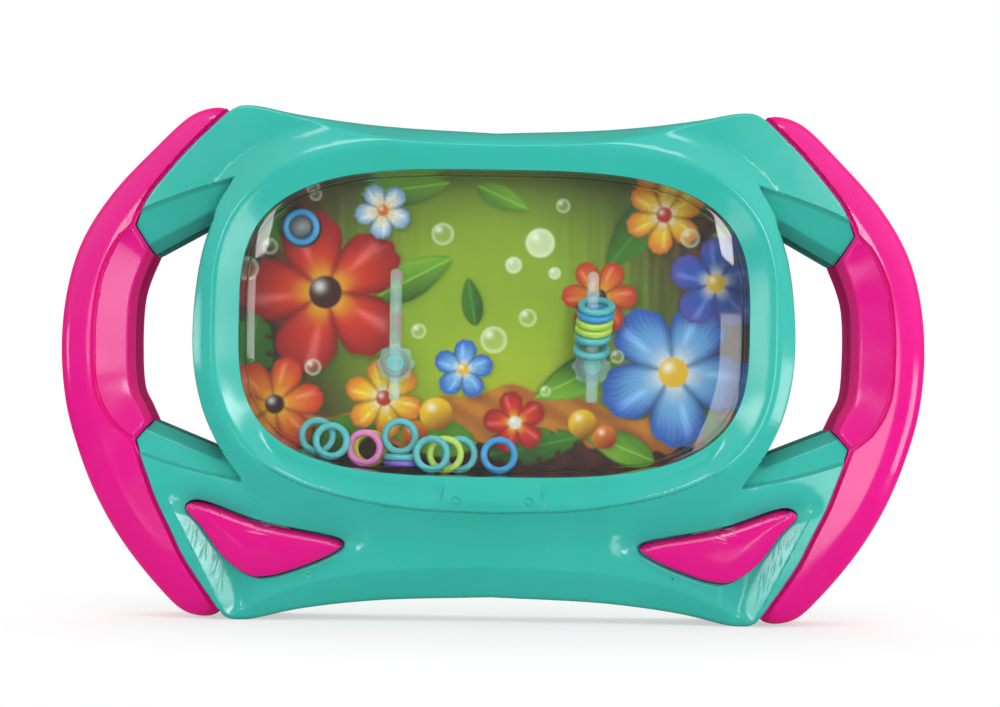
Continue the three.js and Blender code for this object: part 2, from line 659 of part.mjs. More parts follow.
// A ring about the Y axis when its tilt is 0, and about the Z axis when its tilt is 90 degrees
function ring(x, h, z, tilt) {
  const positions = [];
  const faces = [];
  for (let i = 0; i < ringSteps; i++)
    for (let j = 0; j < ringSides; j++) {
      const [turn, around] = [(2 * Math.PI * i) / ringSteps, (2 * Math.PI * (j + 1 / 2)) / ringSides];
      const r = ringRadius + ringTube * Math.cos(around) / Math.cos(Math.PI / ringSides);
      positions.push(r * Math.cos(turn), ringHalfHeight * Math.sin(around), r * Math.sin(turn));
      const [ni, nj] = [(i + 1) % ringSteps, (j + 1) % ringSides];
      const [a, b] = [i * ringSides + j, ni * ringSides + j];
      const [c, d] = [i * ringSides + nj, ni * ringSides + nj];
      faces.push(a, b, d, a, d, c);
    }
  const geometry = new THREE.BufferGeometry();
  geometry.setAttribute("position", new THREE.Float32BufferAttribute(positions, 3));
  geometry.setIndex(faces);
  geometry.rotateX((tilt * Math.PI) / 180);
  return solid(geometry.translate(x, up(h), z));
}

// Lowest place for the middle of a loose ring, resting on the tank's floor
function restingPlace(x, flat) {
  const outer = ringRadius + ringTube;
  const samples = circleSteps * 2;
  let z = 0;
  for (let i = 0; i <= samples; i++) {
    const share = (2 * i) / samples - 1;
    const reach = flat ? ringHalfHeight : outer * Math.sqrt(1 - share * share);
    z = Math.max(z, windowFloor(x + share * outer) + reach);
  }
  return z + tankInset + clearance;
}

function addRings() {
  const tankDepth = tankCeiling - backFront;
  const outer = ringRadius + ringTube;
  stackColors.forEach((color, i) => {
    const z = bossZ + stackSeat + i * stackPitch + (i > 0 ? stackFirstGap : 0);
    const x = pegX + stackLean * (i - 1);
    addNode(`peg_ring_${i + 1}`, ring(x, pegHeight, z, 90 + stackTilt), ringColors[color]);
  });
  for (const { name, color, across, depth, rise, flat } of looseRingShares) {
    const x = across * outer;
    const z = restingPlace(x, flat) + rise * outer;
    const h = backFront + depth * tankDepth;
    addNode(`loose_ring_${name}`, ring(x, h, z, flat ? 90 : 0), ringColors[color]);
  }
  const plugRingHeight = backFront + plugStemReach + clearance + ringHalfHeight;
  addNode("plug_ring", ring(plugX, plugRingHeight, plugZ, 0), ringColors.blue);
}

// A button: a hollow cap with a flange that stops it behind the shell, and a stem for the bellows
function button() {
  const flangeTop = bodyFace - wall - clearance;
  const flangeLow = flangeTop - buttonFlangeThickness;
  const cap = rounded(buttonOutline, flangeLow, buttonTop, buttonWall / 2);
  const flange = prism(drawnIn(buttonOutline, -buttonFlange), flangeLow, flangeTop);
  const hollow = prism(shrunk(buttonOutline, 3 / 4), flangeLow - overrun, buttonTop - buttonWall);
  const stem = rod(pumpX, pumpZ, stemRadius, bellowsFront + clearance, buttonTop - buttonWall / 2);
  return cap.add(flange).subtract(hollow).add(stem);
}

// Height of the bellows' open foot, which sits on the rim of the cup
const bellowsFoot = rearInside + clearance + cupDepth + clearance;

function bellows() {
  const outer = [[bellowsRadius, bellowsFoot]];
  const fold = (bellowsFront - bellowsWall - bellowsFoot) / bellowsFolds;
  for (let k = 0; k < bellowsFolds; k++) {
    const h = bellowsFoot + k * fold;
    outer.push([bellowsRadius - bellowsFold, h + fold / 2], [bellowsRadius, h + fold]);
  }
  const rim = [bellowsRadius - bellowsFold, bellowsFront];
  const inner = outer.map(([r, h]) => [r - bellowsWall - bellowsFold / 4, h]).reverse();
  const top = bellowsFront - bellowsWall;
  inner[0] = [inner[0][0], top - bellowsWall / 2];
  return turned([[0, bellowsFront], rim, ...outer.reverse(), ...inner.reverse(), [0, top]], pumpX, pumpZ);
}

const cupRadius = bellowsRadius + cupWall / 2;
const hoseHeight = rearInside + clearance + cupDepth / 2;

// The cup behind the bellows, with a spigot for the hose
function pumpCup() {
  const low = rearInside + clearance;
  const cup = rod(pumpX, pumpZ, cupRadius, low, low + cupDepth);
  const inside = rod(pumpX, pumpZ, cupRadius - cupWall, low + cupWall / 2, low + cupDepth + overrun);
  const top = pumpZ + cupRadius + spigotLength;
  const spigot = upright(pumpX, hoseHeight, pumpZ + cupRadius - cupWall / 2, top, spigotRadius);
  const bore = upright(pumpX, hoseHeight, pumpZ, top + overrun, spigotBore);
  return cup.subtract(inside).add(spigot).subtract(bore);
}

// The hose from the cup's spigot up to the nozzle under the tank
function hose() {
  const start = pumpZ + cupRadius + clearance;
  const end = windowFloor(nozzleX) - tankOutset - lensWall / 2;
  const at = (x, h, z) => new THREE.Vector3(x, up(h), z);
  const route = new THREE.CatmullRomCurve3([
    at(pumpX, hoseHeight, start), at(pumpX, hoseHeight, start + hoseStraight / 2),
    at(pumpX, hoseHeight, start + hoseStraight),
    at(pumpX - hoseBend / 2, hoseHeight + hoseBend / 3, start + hoseStraight + hoseBend / 3),
    at(nozzleX + hoseBend / 2, nozzleHeight - hoseBend / 3, end - hoseStraight - hoseBend / 3),
    at(nozzleX, nozzleHeight, end - hoseStraight), at(nozzleX, nozzleHeight, end - hoseStraight / 2),
    at(nozzleX, nozzleHeight, end),
  ], false, "centripetal");
  const bore = spigotRadius + clearance;
  const section = new THREE.Shape().absarc(0, 0, bore + hoseWall, 0, 2 * Math.PI);
  section.holes.push(new THREE.Path().absarc(0, 0, bore, 0, 2 * Math.PI));
  return solid(new THREE.ExtrudeGeometry(section, {
    steps: circleSteps, curveSegments: 3, extrudePath: route, bevelEnabled: false,
  }));
}

addNode("front_shell", frontShell(), teal);
addNode("rear_shell", rearShell(), teal);
addNode("tank_lens", tankLens(), clear);
addNode("tank_back", tankBack(), clear);
addNode("picture_card", pictureCard(), card);
addNode("fill_plug", fillPlug(), greyRubber);
addRings();

const rightPieces = {
  handle_front: [handleFront(), magenta],
  handle_rear: [handleRear(), magenta],
  button: [button(), magenta],
  pump_bellows: [bellows(), pumpRubber],
  pump_cup: [pumpCup(), clear],
  pump_hose: [hose(), pumpRubber],
  peg: [peg(), clear],
};
for (const [name, [body, material]] of Object.entries(rightPieces)) {
  addNode(`right_${name}`, body, material);
  addNode(`left_${name}`, body, material, true);
}
screwSpots.forEach((p, i) => addNode(`shell_screw_${i + 1}`, screw(p), steel));
handleScrewSpots.forEach((p, i) => {
  addNode(`right_handle_screw_${i + 1}`, screw(p), steel);
  addNode(`left_handle_screw_${i + 1}`, screw(p), steel, true);
});

export default part;
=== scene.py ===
import math

import bpy
import numpy as np
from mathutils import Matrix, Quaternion, Vector
from mathutils.geometry import delaunay_2d_cdt


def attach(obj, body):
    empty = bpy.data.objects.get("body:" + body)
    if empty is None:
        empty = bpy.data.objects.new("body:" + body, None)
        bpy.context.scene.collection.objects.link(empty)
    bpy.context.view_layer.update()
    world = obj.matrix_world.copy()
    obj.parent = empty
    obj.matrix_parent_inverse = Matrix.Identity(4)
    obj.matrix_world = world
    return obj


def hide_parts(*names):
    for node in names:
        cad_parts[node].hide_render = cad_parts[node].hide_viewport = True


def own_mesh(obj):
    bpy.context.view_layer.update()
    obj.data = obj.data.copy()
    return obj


# Handheld water game. Sizes are in millimetres and become metres in toRow, where h is a height in
# front of the plane that parts the two shells. Outlines are shares of half the width and the height.
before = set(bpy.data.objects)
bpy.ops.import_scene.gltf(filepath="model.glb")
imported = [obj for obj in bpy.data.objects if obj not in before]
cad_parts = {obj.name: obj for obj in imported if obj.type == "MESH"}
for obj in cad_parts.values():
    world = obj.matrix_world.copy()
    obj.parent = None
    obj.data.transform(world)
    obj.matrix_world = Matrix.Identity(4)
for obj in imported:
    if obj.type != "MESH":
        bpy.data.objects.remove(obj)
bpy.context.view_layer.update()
print("frame loaded")

game = dict(
    width=226.0, height=134.3, partingY=3.0, play=0.15, bodyFace=12.8, rearDepth=12.0, lineStep=0.9,
)
halfWidth = game["width"] / 2

topEdgeShares = [(0, .95), (.265, .962), (.46, .981), (.56, .9955), (.595, .9945), (.617, .985)]
upperJointShares = [
    (.617, .985), (.6597, .9505), (.7037, .9135), (.7599, .8587), (.7916, .8247), (.8171, .7862),
    (.8294, .7603),
]
upperArmShares = [(.7915, .706), (.6525, .7715)]
bezelSideShares = [
    (.6525, .7715), (.6736, .7134), (.6859, .6542), (.6938, .5656), (.692, .5065), (.6815, .4473),
    (.6604, .3882), (.624, .3265),
]
upperTipShares = [(.6095, .8471), (.6376, .805), (.6525, .7715)]
lowerTipShares = [(.624, .3265), (.6033, .3018), (.5787, .2737)]
lowerArmShares = [(.787, .3815), (.8215, .3451)]
lowerJointShares = [
    (.8215, .3451), (.7916, .277), (.7714, .2326), (.7388, .1771), (.7037, .1179), (.6205, .016),
]
bottomEdgeShares = [
    (.6205, .016), (.6135, .0085), (.6, .0022), (.58, 0), (.549, .0015), (.4425, .021), (.2655, .039),
    (0, .048),
]
handleOuterShares = [
    (.617, .985), (.633, .9926), (.66, .993), (.708, .978), (.797, .908), (.892, .819), (.956, .73),
    (.988, .64), (1, .529), (.988, .417), (.959, .328), (.916, .238), (.854, .149), (.768, .0596),
    (.711, .015), (.672, .0045), (.64, .006), (.6205, .016),
]
handleInnerShares = [
    (.787, .3815), (.805, .4138), (.8225, .4444), (.8307, .53), (.8265, .62), (.8143, .6593), (.7915, .706),
]
gripCreaseShares = [
    (.8294, .7603), (.8692, .7233), (.9, .6648), (.9142, .5967), (.917, .5286), (.9085, .442),
    (.8746, .3843), (.8215, .3451),
]
upperStepShares = [(.8286, .7743), (.7916, .7928), (.7037, .8217), (.6095, .8471)]
lowerStepShares = [(.8206, .3281), (.7916, .3195), (.7037, .297), (.5787, .2737)]
smileShares = [
    (.5559, .3225), (.5269, .301), (.4391, .2633), (.3513, .2419), (.2635, .2271), (.1756, .2175),
    (0, .2116),
]
topBevelShares = [(0, .921), (.177, .9256), (.2655, .9352), (.354, .9509), (.4867, .9792), (.56, 1.0)]
bottomBevelShares = [
    (0, .1102), (.177, .1035), (.2655, .0975), (.354, .0856), (.4425, .0663), (.5133, .041), (.62, 0),
]
buttonShares = [
    (.5261, .1855), (.3507, .1553), (.3411, .1479), (.3683, .1302), (.4384, .1044), (.5051, .0874),
    (.5507, .0867), (.6086, .1184), (.6655, .1796), (.7015, .2158), (.684, .2261),
]


def placed(shares):
    # Places in millimetres of shares of half the width and of the height
    return np.array(shares, float) * (halfWidth, game["height"])


def evenly(line, step):
    # The line with its points spread evenly, about one step apart, and its ends kept
    along = np.concatenate([[0], np.cumsum(np.linalg.norm(np.diff(line, axis=0), axis=1))])
    count = max(int(round(along[-1] / step)), 1)
    spots = np.linspace(0, along[-1], count + 1)
    return np.column_stack([np.interp(spots, along, line[:, k]) for k in range(line.shape[1])])


def smooth(points, step, closed=False):
    # A centripetal spline: between two points a cubic whose end slopes weigh the neighbours by
    # the root of their distances
    p = np.asarray(points, float)
    if closed:
        q = np.vstack([p[-1:], p, p[:2]])
    else:
        q = np.vstack([2 * p[:1] - p[1:2], p, 2 * p[-1:] - p[-2:-1]])
    a, b, c, d = q[:-3], q[1:-2], q[2:-1], q[3:]
    spans = [np.sqrt(np.linalg.norm(v - u, axis=1))[:, None] for u, v in ((a, b), (b, c), (c, d))]
    gapA, gapB, gapC = spans
    slopeB = ((b - a) / gapA - (c - a) / (gapA + gapB) + (c - b) / gapB) * gapB
    slopeC = ((c - b) / gapB - (d - b) / (gapB + gapC) + (d - c) / gapC) * gapB
    t = np.linspace(0, 1, 40, endpoint=False)[None, :, None]
    b, c, slopeB, slopeC = (v[:, None] for v in (b, c, slopeB, slopeC))
    cubic = (2 * t**3 - 3 * t**2 + 1) * b + (t**3 - 2 * t**2 + t) * slopeB
    cubic = cubic + (3 * t**2 - 2 * t**3) * c + (t**3 - t**2) * slopeC
    last = p[:1] if closed else p[-1:]
    line = evenly(np.vstack([cubic.reshape(-1, p.shape[1]), last]), step)
    return line[:-1] if closed else line


def joined(*lines):
    # Lines end to end, without the points that fall together
    points = np.vstack(lines)
    apart = np.linalg.norm(np.diff(points, axis=0), axis=1) > .02
    return points[np.concatenate([[True], apart])]


def mirrored(line):
    # The line's image in the middle plane
    return line * (-1, 1)


def bothHalves(half):
    # The closed outline whose right half runs from the top to the bottom of the middle line
    whole = joined(half, mirrored(half)[::-1])
    return whole[:-1] if np.linalg.norm(whole[0] - whole[-1]) < .02 else whole


def sideways(line, closed=False):
    # Unit vectors to the left of the way that the line runs
    if closed:
        way = np.roll(line, -1, 0) - np.roll(line, 1, 0)
    else:
        way = np.gradient(line, axis=0)
    left = np.column_stack([-way[:, 1], way[:, 0]])
    return left / np.linalg.norm(left, axis=1)[:, None]


def nearest(places, line):
    # Distance from each place to the line, positive on its left side
    ax, az = line[:-1, 0], line[:-1, 1]
    dx, dz = np.diff(line[:, 0]), np.diff(line[:, 1])
    length2 = dx * dx + dz * dz
    out = np.empty(len(places))
    block = max(1, 200_000 // len(ax))
    for start in range(0, len(places), block):
        wx = places[start:start + block, :1] - ax
        wz = places[start:start + block, 1:] - az
        t = np.clip((wx * dx + wz * dz) / length2, 0, 1)
        away2 = (wx - t * dx)**2 + (wz - t * dz)**2
        k = away2.argmin(1)
        row = np.arange(len(k))
        side = dx[k] * wz[row, k] - dz[k] * wx[row, k]
        out[start:start + block] = np.sqrt(away2[row, k]) * np.where(side < 0, -1, 1)
    return out


def closedLine(ring):
    # The ring with its first point again at its end
    return np.vstack([ring, ring[:1]])


def within(places, ring):
    # Whether each place lies in the ring, by counting the sides that a ray to the right crosses
    out = np.zeros(len(places), bool)
    a, b = ring, np.roll(ring, -1, 0)
    block = max(1, 4_000_000 // len(a))
    for start in range(0, len(places), block):
        x, z = places[start:start + block, 0:1], places[start:start + block, 1:2]
        spans = (a[:, 1] > z) != (b[:, 1] > z)
        rise = np.where(b[:, 1] == a[:, 1], 1e-9, b[:, 1] - a[:, 1])
        crossing = a[:, 0] + (z - a[:, 1]) * (b[:, 0] - a[:, 0]) / rise
        out[start:start + block] = (spans & (x < crossing)).sum(1) % 2 == 1
    return out


def ease(t):
    # 0 below 0, 1 above 1, with flat ends between
    t = np.clip(t, 0, 1)
    return t * t * (3 - 2 * t)


def aboveZero(value, soft):
    # The positive part of a value, bent softly at 0
    return (value + np.sqrt(value * value + soft * soft)) / 2 - soft / 4


def lower(a, b, soft):
    # The lower of two heights, bent softly where they cross
    return b - aboveZero(b - a, soft)


def sideName(side):
    # The right side is 1 and the left side is -1
    return "right" if side > 0 else "left"


def bothWays(steps):
    # Steps to both sides of a line, and the line itself
    return sorted({-v for v in steps} | set(steps) | {0})


def edgeDrop(away, radius):
    # How far a quarter round falls at a distance from the edge
    short = np.clip(radius - away, 0, radius)
    return radius - np.sqrt(np.maximum(radius * radius - short * short, 0))


def mix(a, b, share):
    # From a at a share of 0 to b at a share of 1
    return a + (b - a) * share


def toRow(x, h, z):
    # Metres in the row frame of millimetres across, in front of the parting plane, and up
    return np.column_stack([x, game["partingY"] - h, z]) * .001


def makePiece(name, points, faces, material, body, slotName, nodes=(), cornerNormals=None, angle=35):
    # A mesh object from metres and faces, which rides its body and stands for its CAD nodes
    mesh = bpy.data.meshes.new(name)
    mesh.from_pydata(points, [], faces)
    mesh.validate()
    mesh.materials.append(material)
    mesh.shade_smooth()
    if cornerNormals is None:
        mesh.set_sharp_from_angle(angle=math.radians(angle))
    else:
        mesh.normals_split_custom_set(cornerNormals)
    piece = bpy.data.objects.new(name, mesh)
    bpy.context.scene.collection.objects.link(piece)
    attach(piece, body)
    if nodes:
        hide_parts(*nodes)
    return piece


def unit(v):
    # Vectors of length 1 that point the same way
    return v / np.maximum(np.linalg.norm(v, axis=1), 1e-12)[:, None]


def turnedLeft(ring):
    # The ring running anticlockwise
    x, z = ring[:, 0], ring[:, 1]
    area = (x * np.roll(z, -1) - z * np.roll(x, -1)).sum()
    return ring if area > 0 else ring[::-1]


def insideTriangles(flat, edges, outline, holes):
    # Triangles over the points that keep the edges, run anticlockwise and lie off the holes
    made = delaunay_2d_cdt([Vector(p) for p in flat], edges.tolist(), [], 0, 1e-7)
    tris = np.array([f for f in made[2] if len(f) == 3])
    tris = tris[(tris < len(flat)).all(1)]
    middle = flat[tris].mean(1)
    keep = within(middle, outline)
    for hole in holes:
        keep &= ~within(middle, hole)
    tris = tris[keep]
    a, b, c = (flat[tris[:, k]] for k in range(3))
    turn = (b - a)[:, 0] * (c - a)[:, 1] - (b - a)[:, 1] * (c - a)[:, 0]
    tris[turn < 0] = tris[turn < 0][:, ::-1]
    return tris[np.abs(turn) > 1e-7]


sheetSizes = dict(merge=.1, clearOfRings=.045, slopeStep=.005, softTurn=30)


def sheetPoints(outline, holes, guides, lattice):
    # Points on the outline and the holes, on each guide line's side steps, and on a lattice elsewhere
    s = sheetSizes
    low, high = outline.min(0), outline.max(0)
    columns = np.arange(low[0], high[0], lattice)
    rows = np.arange(low[1], high[1], lattice * math.sqrt(3) / 2)
    gridX, gridZ = np.meshgrid(columns, rows)
    gridX = gridX + (np.arange(len(rows)) % 2)[:, None] * lattice / 2
    wide = np.column_stack([gridX.ravel(), gridZ.ravel()])
    stepped = [line + sideways(line, closed) * away for line, closed, steps in guides for away in steps]
    fine = np.vstack([np.zeros((0, 2)), *stepped])
    cells = np.unique(np.round(fine / s["merge"]), axis=0, return_index=True)[1]
    fine = fine[np.sort(cells)]
    taken = {(int(i), int(j)) for i, j in np.floor(fine / lattice)}
    free = np.array([(int(i), int(j)) not in taken for i, j in np.floor(wide / lattice)])
    inner = np.vstack([fine, wide[free]])
    keep = within(inner, outline)
    for hole in holes:
        keep &= ~within(inner, hole)
    inner = inner[keep]
    for ring in (outline, *holes):
        inner = inner[np.abs(nearest(inner, closedLine(ring))) > s["clearOfRings"]]
    return np.vstack([outline, *holes, inner])


def ringEdges(rings):
    # Pairs of neighbouring points round each ring, counted through all the rings
    edges, start = [], 0
    for ring in rings:
        i = np.arange(len(ring))
        edges.append(np.column_stack([i, (i + 1) % len(ring)]) + start)
        start += len(ring)
    return np.vstack(edges)


def openSides(tris):
    # The sides that belong to one triangle alone, in the direction that they run in it
    sides = np.concatenate([tris[:, [0, 1]], tris[:, [1, 2]], tris[:, [2, 0]]])
    _, index, many = np.unique(np.sort(sides, 1), axis=0, return_index=True, return_counts=True)
    return sides[index[many == 1]]


def wallNormalsOf(flat, border):
    # Each wall's normal stands across its side, and is averaged with its neighbour's where the
    # border turns only slightly between them
    way = unit(flat[border[:, 1]] - flat[border[:, 0]])
    own = np.column_stack([way[:, 1], np.zeros(len(way)), -way[:, 0]])
    following = dict(zip(border[:, 0].tolist(), range(len(border))))
    leading = dict(zip(border[:, 1].tolist(), range(len(border))))
    after = own[[following.get(v, k) for k, v in enumerate(border[:, 1].tolist())]]
    before = own[[leading.get(v, k) for k, v in enumerate(border[:, 0].tolist())]]
    slight = math.cos(math.radians(sheetSizes["softTurn"]))
    first = np.where(((own * before).sum(1) > slight)[:, None], unit(own + before), own)
    second = np.where(((own * after).sum(1) > slight)[:, None], unit(own + after), own)
    return np.stack([first, first, second, second], 1)


def pressedShell(name, outline, holes, heightAt, guides, looks, lattice=1.4, facing=1, thick=2.0,
                 rim=0.15, rimWidth=2.0, plainBack=False):
    # A moulded shell. Its face is a height given as a function of the place, on a triangulated
    # sheet, with normals from the height's slope. Its inside is the same sheet set back, and reaches
    # down to the rim near the outline. A plain back has points on its outline and holes alone
    outline = turnedLeft(outline)
    holes = [turnedLeft(hole) for hole in holes]
    flat = sheetPoints(outline, holes, guides, lattice)
    edges = ringEdges([outline, *holes])
    tris = insideTriangles(flat, edges, outline, holes)
    h = heightAt(flat)
    tiny = sheetSizes["slopeStep"]
    slopeX = (heightAt(flat + (tiny, 0)) - h) / tiny
    slopeZ = (heightAt(flat + (0, tiny)) - h) / tiny
    faceNormals = unit(np.column_stack([-slopeX, -np.ones(len(flat)), -slopeZ])) * (1, facing, 1)
    away = np.abs(nearest(flat, closedLine(outline)))
    back = np.where(away < rimWidth, rim, h - thick)
    count = len(flat)
    border = openSides(tris)
    walls = np.column_stack([border[:, 0], border[:, 0] + count, border[:, 1] + count, border[:, 1]])
    x, z = flat[:, 0], flat[:, 1]
    points = np.vstack([toRow(x, facing * h, z), toRow(x, facing * back, z)])
    front, rear = tris, tris[:, ::-1] + count
    if plainBack:
        ringCount = len(edges)
        points = points[:count + ringCount]
        rear = insideTriangles(flat[:ringCount], edges, outline, holes)[:, ::-1] + count
    faces = [front, rear, walls]
    normals = [faceNormals[front], -faceNormals[rear - count], wallNormalsOf(flat, border)]
    if facing < 0:
        faces = [f[:, ::-1] for f in faces]
        normals = [n[:, ::-1] for n in normals]
    corners = np.vstack([n.reshape(-1, 3) for n in normals])
    faces = [f for part in faces for f in part.tolist()]
    return makePiece(name, points, faces, *looks, cornerNormals=corners)


def ringStack(name, rings, looks, closeStart=True, closeEnd=True, angle=35):
    # A closed surface through rings of points, each (x, h, z), with a flat face at both ends or
    # joined round where the ends stay open
    count, many = len(rings[0]), len(rings)
    points = np.vstack([toRow(*np.asarray(r).T) for r in rings])
    i = np.arange(count)
    j = (i + 1) % count
    last = many if not closeStart and not closeEnd else many - 1
    faces = []
    for k in range(last):
        a, b = k * count, ((k + 1) % many) * count
        faces += np.column_stack([a + i, a + j, b + j, b + i]).tolist()
    if closeStart:
        faces.append(i[::-1].tolist())
    if closeEnd:
        faces.append((i + (many - 1) * count).tolist())
    return makePiece(name, points, faces, *looks, angle=angle)


# Node helpers

def newMaterial(name):
    # A material with an empty Principled shader on its output
    material = bpy.data.materials.new(name)
    material.use_nodes = True
    tree = material.node_tree
    tree.nodes.clear()
    output = tree.nodes.new("ShaderNodeOutputMaterial")
    shader = tree.nodes.new("ShaderNodeBsdfPrincipled")
    tree.links.new(shader.outputs[0], output.inputs[0])
    return material, tree, shader


def outputOf(tree):
    # The output node of a material
    return next(n for n in tree.nodes if n.type == "OUTPUT_MATERIAL")


def add(tree, kind, links=None, **values):
    # A node with its sockets set by name, or linked to another node's output
    node = tree.nodes.new("ShaderNode" + kind)
    for key, value in values.items():
        if key[0].isupper():
            node.inputs[key.replace("_", " ")].default_value = value
        else:
            setattr(node, key, value)
    for key, value in (links or {}).items():
        tree.links.new(value, node.inputs[key])
    return node


def spread(tree, place, scale, detail=2.0, stretch=None, turn=(0, 0, 0)):
    # Noise over the piece's own coordinates, stretched and turned where it is to run in lines
    if stretch is not None:
        size = tuple(1 / v for v in stretch)
        turned = add(tree, "Mapping", {"Vector": place}, vector_type="TEXTURE", Scale=size, Rotation=turn)
        place = turned.outputs[0]
    return add(tree, "TexNoise", {"Vector": place}, Scale=scale, Detail=detail).outputs["Fac"]


def between(tree, value, low, high, start=0.0, end=1.0):
    # The value carried from one range to another, and held at its ends
    node = add(tree, "MapRange", {"Value": value}, clamp=True)
    for key, number in zip(("From Min", "From Max", "To Min", "To Max"), (low, high, start, end)):
        node.inputs[key].default_value = number
    return node.outputs[0]


def maths(tree, operation, a, b):
    # A sum of two numbers or node outputs
    node = add(tree, "Math", operation=operation)
    for k, value in enumerate((a, b)):
        if isinstance(value, (int, float)):
            node.inputs[k].default_value = value
        else:
            tree.links.new(value, node.inputs[k])
    return node.outputs[0]


def blendColor(tree, share, a, b):
    # From colour a at a share of 0 to colour b at a share of 1
    node = add(tree, "Mix", data_type="RGBA")
    for key, value in (("A", a), ("B", b)):
        socket = [s for s in node.inputs if s.name == key and s.type == "RGBA"][0]
        if isinstance(value, tuple):
            socket.default_value = (*value, 1)
        else:
            tree.links.new(value, socket)
    tree.links.new(share, node.inputs[0])
    return [s for s in node.outputs if s.type == "RGBA"][0]


def linear(r, g, b):
    # A colour as a shader takes it, from the numbers of a picture
    return tuple(v / 255 / 12.92 if v <= 10 else ((v / 255 + .055) / 1.055)**2.4 for v in (r, g, b))


def nearSpot(tree, place, x, z, reach):
    # 1 around a spot on either half of the front, in millimetres, and 0 at its reach
    halved = add(tree, "VectorMath", {0: place}, operation="ABSOLUTE")
    flat = add(tree, "VectorMath", {0: halved.outputs[0]}, operation="MULTIPLY")
    flat.inputs[1].default_value = (1, 0, 1)
    far = add(tree, "VectorMath", {0: flat.outputs[0]}, operation="DISTANCE")
    far.inputs[1].default_value = (x * .001, 0, z * .001)
    return between(tree, far.outputs["Value"], reach * .0005, reach * .001, 1, 0)


def relief(tree, shader, height, strength, distance):
    # A fine relief on the shader's surface
    bump = add(tree, "Bump", {"Height": height}, Strength=strength, Distance=distance)
    tree.links.new(bump.outputs[0], shader.inputs["Normal"])


def scratchLines(tree, place):
    # Sparse scratches in three directions: noise stretched into lines, where a wider noise allows them
    worn = None
    for degrees, far in ((25, 0.0), (100, .31), (155, .74)):
        lines = spread(tree, place, 1, 1, (2600, 60, 150), (0, math.radians(degrees), 0))
        moved = add(tree, "VectorMath", {0: place}, operation="ADD")
        moved.inputs[1].default_value = (far, far, far)
        spots = between(tree, spread(tree, moved.outputs[0], 110, 2), .62, .7)
        marks = maths(tree, "MULTIPLY", between(tree, lines, .7, .78), spots)
        worn = marks if worn is None else maths(tree, "MAXIMUM", worn, marks)
    return worn


mouldedSizes = dict(rough=(.10, .18), dust=.6, grain=.02, scratchInk=.07, scratchRough=.16)


def mouldedPlastic(name, color, shade, walls, scuffs):
    # Glossy moulded plastic: faint clouds of colour, scratches, specks of dust, the soft waviness of
    # a moulded face, painted shade and glow on the side walls, which take their own colour as they turn
    # away from the front, and a place rubbed in fine lines
    s = mouldedSizes
    material, tree, shader = newMaterial(name)
    coords = add(tree, "TexCoord")
    place = coords.outputs["Object"]
    clouds = between(tree, spread(tree, place, 45, 3), .3, .7)
    base = blendColor(tree, clouds, shade, color)
    normal = add(tree, "SeparateXYZ", {0: coords.outputs["Normal"]})
    facing = maths(tree, "ABSOLUTE", normal.outputs["Y"], 0)
    # Painted shade and glow: faces that turn away from the front take the walls colour
    base = blendColor(tree, between(tree, facing, .45, .66), walls, base)
    specks = between(tree, spread(tree, place, 1100, 1), .735, .76)
    patches = between(tree, spread(tree, place, 70, 2), .5, .7)
    speckled = maths(tree, "MULTIPLY", maths(tree, "MULTIPLY", specks, patches), s["dust"])
    base = blendColor(tree, speckled, base, tuple(v * .3 for v in color))
    worn = scratchLines(tree, place)
    scratched = maths(tree, "MULTIPLY", worn, s["scratchInk"])
    pale = blendColor(tree, scratched, base, tuple(.4 + .6 * v for v in color))
    streaks = spread(tree, place, 1, 2, scuffs["stretch"], (0, math.radians(12), 0))
    spot = nearSpot(tree, place, scuffs["x"], scuffs["z"], scuffs["reach"])
    streaks = maths(tree, "MULTIPLY", between(tree, streaks, .53, .6), spot)
    pale = blendColor(tree, maths(tree, "MULTIPLY", streaks, scuffs["strength"]), pale, scuffs["ink"])
    tree.links.new(pale, shader.inputs["Base Color"])
    worn = maths(tree, "MAXIMUM", worn, streaks)
    rubbed = between(tree, spread(tree, place, 160, 3), .3, .75, *s["rough"])
    rough = maths(tree, "ADD", rubbed, maths(tree, "MULTIPLY", worn, s["scratchRough"]))
    tree.links.new(rough, shader.inputs["Roughness"])
    waves = maths(tree, "MULTIPLY", spread(tree, place, 220, 2), .5)
    relief(tree, shader, maths(tree, "SUBTRACT", waves, maths(tree, "MULTIPLY", worn, .35)), s["grain"], .001)
    shader.inputs["IOR"].default_value = 1.5
    return material


